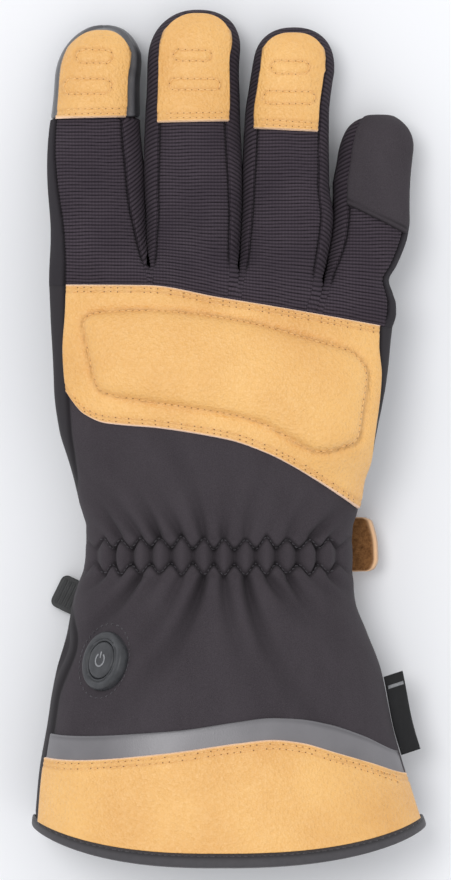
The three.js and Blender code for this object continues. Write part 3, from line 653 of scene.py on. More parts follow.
gathers = {
    "centres": [-0.863, -0.742, -0.59, -0.45, -0.281, -0.112, 0.036, 0.2, 0.359, 0.516, 0.687,
                0.83],  # of the puffs, across the wrist
    "topRow": 3.7, "lowRow": -5.1, "zigzag": 1.9,
    "puffDepth": 3.4, "seamDepth": 1.2, "seamWidth": 0.55,
    "foldDepth": 5.0, "foldAbove": 24, "foldBelow": 38, "fanAbove": 46, "fanBelow": 56,
}
foldCount = len(gathers["centres"])
foldReach = randoms.uniform(0.35, 1.15, (2, foldCount))
foldDeep = randoms.uniform(0.15, 1.2, (2, foldCount))
foldTurn = randoms.uniform(-9, 9, (2, foldCount))  # degrees
puffShift = randoms.uniform(-0.5, 0.5, foldCount + 2)
puffSize = randoms.uniform(0.7, 1.15, foldCount + 2)
palmSeams = {  # across, where the back meets the palm's material; past 1 it doesn't show
    "at": [-1, -0.3, -0.12, 0.2, 0.29, 0.445, 0.62, 0.82, 1],
    "left": [-0.962, -0.965, -1.03, -1.02, -0.982, -0.937, -0.916, -0.912, -0.905],
    "right": [1.04, 1.04, 1.04, 1.04, 1.04, 1.03, 0.985, 0.945, 0.93],
}


def gatherRows(x):
    # both stitched rows over x: the puffs' wave, and the rows' places along the hand
    centres = np.array(gathers["centres"]) * shell["wristWidth"] / 2
    marks = np.concatenate([[centres[0] - 7], centres, [centres[-1] + 7]])
    count = np.arange(-1, foldCount + 1)
    phase = np.interp(x, marks, count)
    wave = np.cos(2 * math.pi * phase)
    lift = np.interp(phase, count, puffShift)
    swing = gathers["zigzag"] * wave * np.interp(phase, count, puffSize)
    return centres, wave, gathers["topRow"] + lift + swing, gathers["lowRow"] + lift * 0.6 - swing


def gatherRelief(x, y, across):
    # height of the gathers over the plain shell, and how dark a point is painted: its stitched
    # rows, with painted shade in the folds and between the puffs
    half = shell["wristWidth"] / 2
    centres, wave, top, low = gatherRows(x)
    rim = 1 - 0.7 * ease((np.abs(across) - 0.8) / 0.18)
    inside = ease((top - y) / 1.2 + 0.5) * ease((y - low) / 1.2 + 0.5)
    middle, reach = (top + low) / 2, np.maximum((top - low) / 2, 1)
    dome = np.sqrt(np.clip(1 - ((y - middle) / (reach + 0.8)) ** 2, 0, 1))
    puff = (0.5 + 0.5 * wave) ** 0.6 * dome
    height = inside * gathers["puffDepth"] * (puff - 0.72)
    rows = np.maximum(bump((y - top) * 0.6, gathers["seamWidth"]),
                      bump((y - low) * 0.6, gathers["seamWidth"]))
    height -= gathers["seamDepth"] * rows
    # creases: painted shade along each fold
    creases = np.zeros(x.shape)
    outside = 1 - inside
    for side, upward, row, fan, run in (
            (0, 1, gathers["topRow"], gathers["fanAbove"], gathers["foldAbove"]),
            (1, -1, gathers["lowRow"], gathers["fanBelow"], gathers["foldBelow"])):
        for i, centre in enumerate(centres):
            lean = math.radians(fan) * math.copysign(abs(centre / half) ** 0.8, centre) \
                + math.radians(foldTurn[side, i])
            aheadX, aheadY = math.sin(lean), upward * math.cos(lean)
            dx, dy = x - centre, y - row - upward * gathers["zigzag"]
            t = dx * aheadX + dy * aheadY
            past = np.maximum(t, 0)
            d = dx * aheadY - dy * aheadX - 0.006 * past ** 2 * math.copysign(1, centre) * upward
            fade = outside * ease((t + 1.5) / 3) * np.exp(-past / (run * foldReach[side, i]) * 1.3)
            width = 1.5 + 0.07 * past
            deep = gathers["foldDepth"] * foldDeep[side, i]
            height += fade * deep * (0.42 * bump(d, 2.4 * width) - bump(d, width))
            creases = np.maximum(creases, fade * foldDeep[side, i] * bump(d, 1.1 * width))
    # painted shade in the gaps between the puffs
    puffGapShade = inside * np.clip(1 - 2.6 * puff, 0, 1)
    return rim * height, rim * np.clip(0.6 * rows + 0.5 * creases + 0.5 * puffGapShade, 0, 0.85)


def softWaves(grid, scale=1):
    # the slow unevenness of padded cloth
    x, y = np.moveaxis(grid[..., :2] * scale, -1, 0)
    return (0.35 * np.sin(x / 13 + 0.6 * np.sin(y / 21)) * np.sin(y / 17 + 1.1)
            + 0.2 * np.sin(x / 7.3 + y / 9.1 + 2) * np.sin(y / 11 - 0.4))


switch = {"across": -0.715, "at": -0.374, "tilt": 19, "diameter": 20.8, "height": 1.8, "dish": 0.8,
          "capDiameter": 13, "stitchDiameter": 26.5}


def switchSeat():
    # the switch's place on the cuff, and the ways over, along and out from it
    step = 0.02
    across, at = switch["across"], switch["at"]
    along = handPoint(across, at + step, True) - handPoint(across, at - step, True)
    over = handPoint(across + step, at, True) - handPoint(across - step, at, True)
    out = unit(np.cross(over, along))
    along = unit(along - out * along.dot(out))
    tilt = math.radians(switch["tilt"])
    out = out * math.cos(tilt) - np.cross(along, out) * math.sin(tilt)
    return handPoint(across, at, True), np.cross(along, out), along, out


def makeShell():
    across, isBack = around(shell["backColumns"], shell["palmColumns"], 0.45)
    cuff, hand = np.linspace(-0.985, -0.17, 52), np.linspace(0.15, 0.9995, 54)
    band = np.linspace(-0.165, 0.135, 64)  # close rows where the gathers are
    ats = np.concatenate([[-0.99], cuff, band, hand])[:, None]
    rings = handPoint(across, ats, isBack)
    x, y, z = np.moveaxis(rings, -1, 0)
    face = isBack & (np.abs(y) < 60)
    # rows: the darkness of the stitched rows, with painted shade in the folds and between the puffs
    height, rows = (np.where(face, part, 0) for part in gatherRelief(x, y, across))
    left, right = (curve(palmSeams, side, ats) for side in ("left", "right"))
    seamLine = isBack * np.maximum(bump((across - left) * 52, 0.7),
                                   bump((across - right) * 55, 0.7))
    tuck = shell["hemTuck"] * ease((-0.945 - ats) / 0.004)  # thinner under the binding
    height = height + softWaves(rings) * ease((np.abs(y) - 8) / 20) - tuck \
        - shell["seamDepth"] * seamLine
    # the cloth is tilted with the switch that it carries
    seat = switchSeat()[0]
    dx, away = x - seat[0], np.hypot(x - seat[0], y - seat[1])
    slope = math.tan(math.radians(switch["tilt"]))
    height = height + isBack * slope * dx * np.exp(-(away / 15) ** 4)
    height = height * np.where(isBack, 1.0, ease((z - 1.5) / 4))
    outer = rings + normalsOf(rings, True) * height[..., None]
    outer[..., 2] = np.maximum(outer[..., 2], np.where(isBack, 0, 0.05))
    inner = handPoint(across, np.linspace(-0.99, 0.9995, 34)[:, None], isBack, -shell["wall"])
    points, faces = ringStack(np.concatenate([outer, inner[::-1]]), closed=True)
    palm = ease((left - across) / 0.01) + ease((across - right) / 0.01)
    palm = np.where(isBack, palm, ease((np.abs(ats + 0.02) - 0.1) / 0.04))
    blank = np.zeros(inner.shape[:2])
    # the seam layer: darker seams and stitched rows, with painted shade in the gathers' folds and
    # gaps
    seams = np.concatenate([np.clip(np.maximum(rows, 0.8 * seamLine), 0, 1), blank])
    piece = addMesh("softshell_shell", points, faces, materials["softshell"],
                    {"seam": seams.ravel(), "palmSide": np.concatenate([palm, blank + 1]).ravel()})
    return fit(piece, "softshell", "glove_body")


shellPiece = makeShell()
rowX = np.linspace(-0.89, 0.86, 260) * shell["wristWidth"] / 2
layStitches("gather_stitching", shellPiece,
            [(np.stack([rowX, row], 1), False) for row in gatherRows(rowX)[2:]],
            materials["darkThread"], "softshell", holes=False, pitch=1.5, length=1.15, width=0.42)
print("shell made:", len(shellPiece.data.polygons), "faces")


# The fingers. at: 0 at the knuckle seam, 1 where the rounded tip starts, 2 at its end

knit = {"pitch": 1.17, "depth": 0.36, "rowsPerRib": 4.5, "wall": 3.5, "sidePitch": 1.3,
        "seamDepth": 0.8, "crotchDepth": 1.2, "rootTuck": 0.9, "wave": 0.25,
        "backColumns": 74, "palmColumns": 42}
fingers = {
    "index": dict(
        node="index_finger", start=-1.0, end=-0.403, length=90, width=34.2, thickness=26,
        waist=1.02, tip=0.88, sleeve=1.7, webs=(0, 5.8), slants=(0, -0.5),
        smoothLeft=True, smoothRight=False),
    "middle": dict(
        node="middle_finger", start=-0.403, end=0.099, length=99.4, width=34.6, thickness=27,
        waist=0.9, tip=0.93, sleeve=0, webs=(5.8, 9.8), slants=(0.34, 0.34),
        smoothLeft=False, smoothRight=False),
    "ring": dict(
        node="ring_finger", start=0.099, end=0.56, length=98.4, width=30.7, thickness=26,
        waist=0.98, tip=0.95, sleeve=0, webs=(9.8, 10), slants=(0.34, 0.34),
        smoothLeft=False, smoothRight=False),
    "little": dict(
        node="little_finger", start=0.56, end=1.0, length=72.1, width=29.4, thickness=24,
        waist=0.93, tip=0.9, sleeve=0, webs=(10, 0), slants=(0.34, 0),
        smoothLeft=False, smoothRight=True),
}
middleLines = {  # how far each finger's middle has moved sideways, by share of its length
    "at": [0, 0.2, 0.4, 0.6, 0.7, 0.8, 0.9, 1],
    "index": [0, 0.1, -1.25, -1.9, -1.4, -1.0, 0.3, 2.4],
    "middle": [0, 0.54, 0.04, -0.26, -0.06, 0, 0.94, 2.1],
    "ring": [0, 2.2, 3.2, 3.7, 4.1, 5.4, 6.7, 6.4],
    "little": [0, 1.5, 4.7, 5.8, 6.6, 7.6, 8.4, 7.9],
}
littleEdge = {  # outer side of the little finger by reach: the palm's shoulder, then a notch
    "at": [0, 5, 8, 11.5, 15.5, 20, 24, 30, 38],
    "x": [60.5, 61.9, 61.8, 60.7, 59.4, 62, 64, 66.1, 67.1],
}
seamLines = {  # across each finger, by reach in mm, of the seams beside its back panel
    "at": [0, 6, 15, 31, 52, 75],
    "indexLeft": [-0.7, -0.7, -0.73, -0.8, -0.87, -0.9],
    "indexRight": [0.94, 0.9, 0.8, 0.66, 0.61, 0.6],
    "middleLeft": [-0.93, -0.88, -0.8, -0.74, -0.7, -0.7],
    "middleRight": [0.8, 0.79, 0.77, 0.74, 0.7, 0.7],
    "ringLeft": [-0.86, -0.84, -0.8, -0.77, -0.71, -0.7],
    "ringRight": [0.74, 0.745, 0.746, 0.75, 0.775, 0.78],
    "littleLeft": [-0.82, -0.78, -0.71, -0.58, -0.58, -0.66],
    "littleRight": [0.8, 0.82, 0.85, 0.87, 0.93, 0.95],
}
fingerOrder = list(fingers)
partings = {  # sideways shift, over what length, and how far up the neighbours stay in touch
    "index": dict(shift=-2.6, over=50, inTouch=16),
    "middle": dict(shift=2.4, over=50, inTouch=20),
    "ring": dict(shift=6.4, over=45, inTouch=30),
}
tipRoundness = 0.47
touch = 0.3  # how far neighbours press into each other


def partingX(name, seamEnd, y):
    parting = partings[name]
    way = np.clip((y - seamEnd[1]) / parting["over"], 0, 1)
    return seamEnd[0] + parting["shift"] * np.sin(way * math.pi / 2)


def tipLengths(finger):
    # of the rounded tip, and of the straight part before it
    tipLength = tipRoundness * finger["width"]
    return tipLength, finger["length"] - tipLength


def tipShape(finger, at, grow=0):
    # rows as mm along a finger, and how wide its rounded tip still is there
    tipLength, straight = tipLengths(finger)
    turn = np.maximum(0, at - 1) * math.pi / 2
    reach = np.minimum(at, 1) * straight + (tipLength + grow) * np.sin(turn)
    return reach, np.maximum(0, 1 - np.sin(turn) ** 2.3) ** (1 / 2.3)


def fingerPoint(name, across, at, back, grow=0):
    finger = fingers[name]
    across, at = np.broadcast_arrays(np.asarray(across, float), np.asarray(at, float))
    start, end = finger["start"], finger["end"]
    seamLeft, seamMiddle, seamRight = (handPoint(place, 1, True)
                                       for place in (start, (start + end) / 2, end))
    share = (1 + across * (1 + 2 * grow / (seamRight[0] - seamLeft[0]))) / 2
    seam = handPoint(mix(start, end, share), 1, back, grow)
    reach, narrowing = tipShape(finger, at, grow)
    own = ease((reach - 0.4 * mix(*finger["webs"], (1 + across) / 2)) / 15)
    ownSide = ease(reach / 16)
    y = mix(seam[..., 1], seamMiddle[1], ease(reach / 32)) + reach
    far = reach / finger["length"]
    width = finger["width"] * mix(finger["waist"], 1, ease(far / 0.4)) \
        * mix(1, finger["tip"], ease((far - 0.4) / 0.4))
    centre = seamMiddle[0] + curve(middleLines, name, far)
    left = mix(seamLeft[0], centre - width / 2, ownSide)
    right = mix(seamRight[0], centre + width / 2, ownSide)
    if name == "little":
        right = mix(curve(littleEdge, "x", reach), right, ease((reach - 30) / 8))
    order = fingerOrder.index(name)
    if order > 0:
        before = fingerOrder[order - 1]
        edge = partingX(before, seamLeft, y) - touch
        apart = ease((reach - partings[before]["inTouch"]) / 14)
        left = mix(edge, np.maximum(left, edge), apart)
    if order < len(fingerOrder) - 1:
        edge = partingX(name, seamRight, y) + touch
        apart = ease((reach - partings[name]["inTouch"]) / 14)
        right = mix(edge, np.minimum(right, edge), apart)
    half = (right - left) / 2 + grow - finger["sleeve"] * ease((at - 0.785) / 0.015)
    x = (left + right) / 2 + half * across * narrowing
    droop = ease(far / 0.9)
    bottom = mix(shell["thumbRoom"] * curve(sections, "bottom", 1), -0.5, droop)
    thickness = finger["thickness"] * mix(1, 0.93, droop)
    side = bottom + 0.46 * thickness
    lip = shell["sideLip"]
    ownZ = np.where(
        back,
        side + (lip + (thickness * 0.54 + grow - lip) * arch(across, 2.3, 0.5)) * narrowing,
        side - (lip + (thickness * 0.46 + grow - lip) * arch(across, 2.6, 0.5)) * narrowing)
    z = np.maximum(finger["sleeve"] - grow, mix(seam[..., 2], ownZ, own))
    return np.stack([x, y, z], -1)


def skin(inner, values, inside=0.0):
    # a layer of an outer skin, in a stack of inner rings, the skin and its two end points
    return np.concatenate([np.full(inner[..., 0].size, inside), np.ravel(values), [0, 0]])


def seamPlaces(name, walked, across, reach):
    # how far round each row the two seams beside the back panel are
    rows, places = np.arange(len(reach)), []
    for side in ("Left", "Right"):
        column = np.interp(curve(seamLines, name + side, reach), across, np.arange(len(across)))
        low = np.floor(column).astype(int)
        high = np.minimum(low + 1, len(across) - 1)
        places.append(mix(walked[rows, low], walked[rows, high], column - low)[:, None])
    return places


def makeFinger(name):
    finger = fingers[name]
    back = knit["backColumns"]
    across, isBack = around(back, knit["palmColumns"])
    tipLength, straight = tipLengths(finger)
    step = knit["pitch"] / knit["rowsPerRib"]
    shaft = np.concatenate([[-0.7 / straight], np.linspace(0, 1, int(straight / step))])
    tip = 1 + np.linspace(0, 0.985, int(tipLength * 1.45 / step))[1:]
    ats = np.concatenate([shaft, tip])[:, None]
    rings = fingerPoint(name, across, ats, isBack)
    x, z = rings[..., 0], rings[..., 2]
    reach = tipShape(finger, ats)[0]
    # how far round the section each column is from the seams, in mm
    walked = lengthsAlong(rings, 1)[0]
    left, right = seamPlaces(name, walked, across[:back], reach[:, 0])
    pastLeft, pastRight = walked - left, right - walked  # positive between the seams
    inBack = np.minimum(pastLeft, pastRight)
    nearLeft = pastLeft < pastRight
    parted = ease((reach - np.where(nearLeft, *finger["webs"])) / 5)  # 0 while it is one cloth
    slanted = reach + np.where(nearLeft, *finger["slants"]) * np.abs(inBack) * parted
    along = np.where(inBack > 0, reach, slanted)
    along = along + 0.12 * np.sin(x / 4.1 + reach / 9) + 0.07 * np.sin(x / 1.9 + reach / 5)
    pitch = knit["pitch"] * mix(1, knit["sidePitch"], inBack < 0)
    rib = np.abs(np.sin(math.pi * along / pitch)) ** 0.75
    smooth = np.where(isBack, np.zeros(rib.shape), 1)
    if finger["smoothLeft"]:
        smooth = np.maximum(smooth, ease(0.3 - pastLeft / 0.6) * (walked < 50))
    if finger["smoothRight"]:
        smooth = np.maximum(smooth, ease(0.3 - pastRight / 0.6))
    shaftShare = 1 - ease((ats - 1.02) / 0.45)  # ribs and seams run out at the tip
    seamLine = np.maximum(bump(pastLeft, 0.6), bump(pastRight, 0.6)) * isBack * shaftShare
    seamLine *= np.maximum(parted, 1.0 * (pastLeft < 1) * finger["smoothLeft"])
    # crotch: a dent where neighbouring fingers part, painted dark there as shade
    crotchDentAndShade = np.zeros(rib.shape)
    for web, fromSide in zip(finger["webs"], (walked, walked[:, back - 1:back] - walked)):
        if web:
            past = reach - web - 2.2
            away = np.hypot(fromSide / 1.3, np.maximum(0, past) / 5 - np.minimum(0, past) / 1.1)
            crotchDentAndShade = np.maximum(crotchDentAndShade, bump(away, 1.1) * isBack)
    height = knit["depth"] * (rib - 1) * (1 - smooth) * shaftShare \
        - knit["seamDepth"] * seamLine - knit["crotchDepth"] * crotchDentAndShade
    height[0] -= knit["rootTuck"]  # the first row tucks in under the hand's edge
    height = (height + knit["wave"] * softWaves(rings, (1.6, 1.4))) * ease((z - 0.4) / 1.5)
    outer = rings + normalsOf(rings, True) * height[..., None]
    inner = fingerPoint(name, across, np.linspace(0, 1.8, 14)[:, None], isBack, -knit["wall"])
    points, faces = ringStack(np.concatenate([inner[::-1], outer]), ends=True)
    sideways = np.where(inBack > 0, x, walked)
    # the seam layer: darker seam lines, with painted shade in the crotches
    seam = np.clip(np.maximum(seamLine, crotchDentAndShade), 0, 1) * 0.85
    piece = addMesh(name + "_stall", points, faces, materials["ribKnit"], {
        "seam": skin(inner, seam), "ridge": skin(inner, rib), "palmSide": skin(inner, smooth, 1.0),
        "weave": np.stack([skin(inner, sideways), skin(inner, along), np.zeros(len(points))], 1)})
    return fit(piece, "rib_knit", finger["node"])


fingerPieces = [makeFinger(name) for name in fingers]
print("fingers made:", sum(len(piece.data.polygons) for piece in fingerPieces), "faces")


# Leather and cloth sewn on

def rolled(fromEdge, thickness, radius=0.9):
    # height of a sheet whose cut edge is a little rounded
    return thickness * np.sqrt(np.clip(1 - (1 - np.clip(fromEdge / radius, 0, 1)) ** 2, 0, 1))


def groove(fromLine, depth=0.42, width=0.62):
    return -depth * bump(fromLine, width)


def stitchRows(fromEdge, rows, depth=0.3):
    # the dents of stitched rows beside an edge, and how dark they are
    marks = [bump(fromEdge - row, 0.5) for row in rows]
    return -depth * sum(marks), depth * np.maximum.reduce(marks)


def rowsInside(base, edge, inside, rows, trim=5):
    # the paths of stitched rows beside the first or last row of a sheet
    edgeLine = base[edge, :, :2]
    inward = unit(base[inside, :, :2] - edgeLine)
    return [((edgeLine + inward * row)[trim:-trim], False) for row in rows]


def sewOn(name, base, height, under, material, layers, back=True):
    # a sheet over a grid of the surface, on the back or the palm side
    normals = normalsOf(base, False)
    normals *= np.sign(normals[..., 2].mean()) * (1 if back else -1)
    return slab(name, base + normals * height[..., None], base + normals * under, material, layers)


panel = {
    "thickness": 1.2, "gap": 0.35, "padHeight": 2.5, "padDome": 0.5, "padGroove": 0.7,
    "wave": 0.6, "rows": (1.2, 2.6),
    "padLine": [(84, 322), (88.5, 316.6), (100.6, 313), (149, 311), (197.5, 314.8), (229, 319.7),
                (261.7, 326), (313, 340.6), (347.8, 351), (361.5, 363), (365.8, 376.8),
                (361.5, 411), (356.4, 438.8), (344, 445.6), (327, 450.8), (311.6, 450),
                (296, 442), (261.7, 423), (229, 414), (185.4, 407), (137, 399.6),
                (106.6, 393.6), (97.6, 385.7), (92, 367), (86.6, 342.7)],  # in the photograph
}
panelEdge = {
    "at": [-0.93, -0.82, -0.7, -0.36, 0.06, 0.28, 0.47, 0.68, 0.84, 1],
    "edge": [0.62, 0.52, 0.487, 0.468, 0.435, 0.395, 0.345, 0.28, 0.225, 0.17],
}
panelSides = {"at": [0.15, 0.31, 0.5, 0.75, 0.9, 1],
              "left": [-0.92, -0.92, -0.91, -0.925, -0.905, -0.895],
              "right": [0.99, 0.985, 0.975, 0.96, 0.93, 0.925]}
photoScale = 0.35  # mm for each pixel
photoMiddle = (219, 554)  # pixel of the wrist's middle on the gathered line


def fromPhoto(points):
    points = np.array(points, float)
    return (points - photoMiddle) * photoScale * (1, -1)


def makeKnucklePanel():
    u, v = np.meshgrid(edgeShares(112, 96), edgeShares(48, 46))
    across, at = mix(-0.91, 0.965, u), np.full(u.shape, 0.7)
    for _ in range(6):  # the sides and the lower edge depend on each other
        at = mix(curve(panelEdge, "edge", across), 1.003, v)
        across = mix(curve(panelSides, "left", at), curve(panelSides, "right", at), u)
    base = handPoint(across, at, True)
    x, y = base[..., 0], base[..., 1]
    walked, left, fromEdge = edgeLengths(base)
    fromRows = np.minimum(walked, left)
    padLine = smoothLoop(fromPhoto(panel["padLine"]), 120)
    inPad = outlineDistance(x, y, padLine)
    pad = panel["padHeight"] * (1 - np.exp(-np.clip(inPad, 0, None) / 1.9)) \
        + panel["padDome"] * ease(inPad / 16)
    dip = -0.5 * bump(np.minimum(inPad, 0), 1.6) * (inPad < 1)
    puckers = 0.14 * np.sin(x / 0.75) * bump(fromRows - 2.2, 2.6) \
        + 0.1 * np.sin((x + y) / 0.8) * bump(inPad + 1.6, 1.4)
    dents, marks = stitchRows(fromRows, panel["rows"])
    height = panel["gap"] + rolled(fromEdge, panel["thickness"]) + np.where(inPad > 0, pad, dip) \
        + groove(inPad, panel["padGroove"], 0.75) + dents + puckers * ease(fromEdge / 1.5) \
        + panel["wave"] * softWaves(base)
    piece = sewOn("knuckle_leather", base, height, panel["gap"] - 0.25, materials["tanLeather"],
                  {"seam": np.maximum(0.32 * bump(inPad, 0.7), marks),
                   "edge": ease(1.5 - fromRows / 0.5)})
    fit(piece, "tan_leather", "knuckle_panel")
    paths = [(padLine, True), *rowsInside(base, 0, 6, panel["rows"], 4),
             *rowsInside(base, -1, -7, panel["rows"], 4)]
    layStitches("knuckle_stitching", piece, paths, materials["tanThread"], "tan_leather")


makeKnucklePanel()


cuffTrim = {"tapeThickness": 0.5, "leatherThickness": 1.2, "gap": 0.3, "rows": (1.4, 3.1),
            "fromSide": -0.965, "toSide": 0.985, "low": -0.952,
            "palmTape": 6.7, "tapeSteps": (0, 0.3, 0.8), "tapeRow": 1.1, "tapeWave": 0.5,
            "leatherWave": 0.8}
cuffEdges = {
    "at": [-0.965, -0.5, -0.18, 0.11, 0.3, 0.46, 0.64, 0.83, 0.985],
    "tape": [-0.643, -0.605, -0.585, -0.561, -0.55, -0.556, -0.58, -0.633, -0.71],
    "leather": [-0.727, -0.677, -0.65, -0.627, -0.618, -0.63, -0.668, -0.722, -0.79],
}


def makeCuffTrim():
    gap = cuffTrim["gap"]
    columns = mix(cuffTrim["fromSide"], cuffTrim["toSide"], edgeShares(150, 120))
    leather, tape = (curve(cuffEdges, edge, columns) for edge in ("leather", "tape"))

    rows = edgeShares(9, 8, cuffTrim["tapeSteps"])[:, None]
    base = handPoint(columns, mix(leather - 0.02, tape, rows), True)
    _, left, fromEdge = edgeLengths(base)
    fromRow = left - cuffTrim["tapeRow"]
    height = gap + rolled(fromEdge, cuffTrim["tapeThickness"], 0.5) \
        + cuffTrim["tapeWave"] * softWaves(base) + groove(fromRow, 0.12, 0.3)
    piece = sewOn("reflective_band", base, height, gap - 0.4, materials["reflective"],
                  {"seam": 0.5 * bump(fromRow, 0.3), "edge": ease(1 - fromEdge / 0.4)})
    fit(piece, "reflective_tape", "reflective_strip")

    base = handPoint(columns, mix(cuffTrim["low"], leather, edgeShares(24, 26)[:, None]), True)
    left = lengthsAlong(base, 0)[1]
    fromEdge = np.minimum.reduce([left, *lengthsAlong(base, 1)])
    dents, marks = stitchRows(left, cuffTrim["rows"])
    puckers = 0.12 * np.sin(base[..., 0] / 0.8) * bump(left - 2.2, 2.2) * ease(fromEdge / 1.5)
    height = gap + 0.35 + rolled(fromEdge, cuffTrim["leatherThickness"]) + dents + puckers \
        + cuffTrim["leatherWave"] * softWaves(base)
    piece = sewOn("cuff_leather", base, height, gap - 0.2, materials["tanLeather"],
                  {"seam": marks, "edge": ease(1 - fromEdge / 0.8)})
    fit(piece, "tan_leather", "cuff_leather_panel")
    layStitches("cuff_stitching", piece, rowsInside(base, -1, -7, cuffTrim["rows"]),
                materials["tanThread"], "tan_leather")


makeCuffTrim()


def makePalmTape():
    columns = mix(-0.985, 0.985, edgeShares(150, 70))
    low = cuffTrim["low"] + 0.004
    high = low + cuffTrim["palmTape"] / shell["cuffLength"]
    rows = edgeShares(cuffTrim["palmTape"], 6, cuffTrim["tapeSteps"])[:, None]
    base = handPoint(columns, mix(low, high, rows), False)
    fromEdge = edgeLengths(base)[2]
    height = cuffTrim["gap"] + rolled(fromEdge, cuffTrim["tapeThickness"], 0.5)
    piece = sewOn("palm_reflective_band", base, height, 0.05, materials["reflective"],
                  {"seam": 0 * height, "edge": ease(1 - fromEdge / 0.4)}, back=False)
    fit(piece, "reflective_tape", "palm_reflective_strip")


makePalmTape()


binding = {"height": 4.9, "thickness": 1, "clearance": 0.3, "stitchRow": 1.0,
           "backColumns": 190, "palmColumns": 110}


def makeBinding():
    # tape folded over the hem: a channel with a rounded fold, all the way round
    columns, isBack = around(binding["backColumns"], binding["palmColumns"], 0.5)
    inside = -shell["wall"] - binding["clearance"]
    outside = shell["hemLift"]
    thick = binding["thickness"]
    top = -1 + binding["height"] / shell["cuffLength"]
    fold = -1 + 0.6 / shell["cuffLength"]
    places = [(-0.988, outside - thick), (top - 0.004, outside - thick), (top, outside - 0.5),
              (top - 0.002, outside - 0.12), (top - 0.008, outside)]
    places += [(at, outside + 0.06) for at in np.linspace(top - 0.012, -0.982, 5)]
    middle, half = (outside + inside - thick) / 2, (outside - inside + thick) / 2
    for turn in np.linspace(0.1, 0.9, 9) * math.pi:
        places.append((mix(-0.984, fold, math.sin(turn) ** 0.6), middle + half * math.cos(turn)))
    places += [(-0.982, inside - thick), (top - 0.006, inside - thick), (top, inside - 0.5),
               (top - 0.004, inside), (-0.988, inside)]
    rings = np.stack([handPoint(columns, at, isBack, grow) for at, grow in places])
    rings[..., 2] = np.maximum(rings[..., 2], 0.0)
    rings[..., 2] = np.maximum(rings[..., 2], 0)
    points, faces = ringStack(rings, closed=True)
    order = np.arange(len(places))
    weave = np.zeros(rings.shape)
    weave[..., 0] = np.arange(len(columns)) * 1.1
    weave[..., 1] = order[:, None]
    stitched = bump(order - 5, 1.2) * 0.8  # darker along the stitch row
    piece = addMesh("hem_tape", points, faces, materials["binding"],
                    {"weave": weave.reshape(-1, 3), "seam": np.repeat(stitched, len(columns))})
    fit(piece, "binding_tape", "hem_binding")
    row = top - binding["stitchRow"] / shell["cuffLength"]
    line = handPoint(np.linspace(-0.975, 0.985, 240), row, True, outside)[:, :2]
    layStitches("hem_stitching", piece, [(line, False)], materials["darkThread"], "binding_tape",
                holes=False)


makeBinding()
print("cuff trimmed")


# Finger caps. Loops are left, right, top and bottom in the photograph

caps = {
    "index": dict(node="index_tip_cap", left=-0.87, right=0.72, startLeft=0.79, startRight=0.797,
                  end=0.7, drop=0.48, grow=0.75, loops=[(77, 112, 50, 63), (64, 111, 79, 94)]),
    "middle": dict(node="middle_tip_cap", left=-0.72, right=0.75, startLeft=0.716,
                   startRight=0.722, end=0.68, drop=0.5, grow=0,
                   loops=[(174, 211, 50, 61), (170, 219.5, 79, 90)]),
    "ring": dict(node="ring_tip_cap", left=-0.75, right=0.71, startLeft=0.745, startRight=0.732,
                 end=0.61, drop=0.45, grow=0,
                 loops=[(272, 309, 61, 74), (264, 314.6, 91.6, 104)]),
}
capTrim = {"thickness": 1.2, "gap": 0.25, "rows": (1.5, 3.2), "wave": 0.12}
littleCap = {"left": -0.62, "right": 0.92, "startLeft": 0.7, "startRight": 0.525, "end": 0.84,
             "drop": 0.1, "grow": 0, "thickness": 1.0, "gap": 0.25, "row": 1.8, "wave": 0.3}


def roundedLoop(left, right, top, bottom):
    # a stitched loop, long and round at its ends
    radius = (bottom - top) / 2
    turns = np.linspace(-math.pi / 2, math.pi / 2, 9)
    over, down = radius * np.cos(turns), radius * np.sin(turns)
    rightEnd = np.stack([right - radius + over, top + radius + down], 1)
    leftEnd = np.stack([left + radius - over, top + radius - down], 1)
    return fromPhoto(np.concatenate([rightEnd, leftEnd]))


def capGrid(name, cap, columns, rows):
    # a grid over a finger's back and rounded tip, its rows spaced by real length
    end = cap["end"] - cap["drop"] * (1 - (1 - np.abs(2 * columns - 1) ** 3) ** 0.333)
    start = mix(cap["startLeft"], cap["startRight"], columns)
    tipLength, straight = tipLengths(fingers[name])
    tipRun = tipLength * end * math.pi / 2 * 0.86
    shaftRun = (1 - start) * straight
    run = rows[:, None] * (shaftRun + tipRun)
    at = np.where(run < shaftRun, start + run / straight, 1 + end * (run - shaftRun) / tipRun)
    return fingerPoint(name, mix(cap["left"], cap["right"], columns), at, True, cap["grow"])


def makeCap(name):
    cap = caps[name]
    base = capGrid(name, cap, edgeShares(27, 40), edgeShares(33, 44))
    walked, _, fromEdge = edgeLengths(base)
    dents, seams = stitchRows(walked, capTrim["rows"], 0.25)
    height = capTrim["gap"] + rolled(fromEdge, capTrim["thickness"]) + dents
    loops = [roundedLoop(*loop) for loop in cap["loops"]]
    for loop in loops:
        away = outlineDistance(base[..., 0], base[..., 1], loop)
        height = height + groove(away, 0.25, 0.5) + 0.18 * ease(away / 1.2)
        seams = np.maximum(seams, 0.2 * bump(away, 0.5))
    piece = sewOn(name + "_cap_leather", base, height + capTrim["wave"] * softWaves(base, 4),
                  capTrim["gap"] - 0.2, materials["tanLeather"],
                  {"seam": seams, "edge": 0.8 * ease(1 - fromEdge / 0.6)})
    fit(piece, "tan_leather", cap["node"])
    paths = [(loop, True) for loop in loops] + rowsInside(base, 0, 7, capTrim["rows"])
    layStitches(name + "_cap_stitching", piece, paths, materials["tanThread"], "tan_leather",
                width=0.56, hole=0.2)


for name in caps:
    makeCap(name)


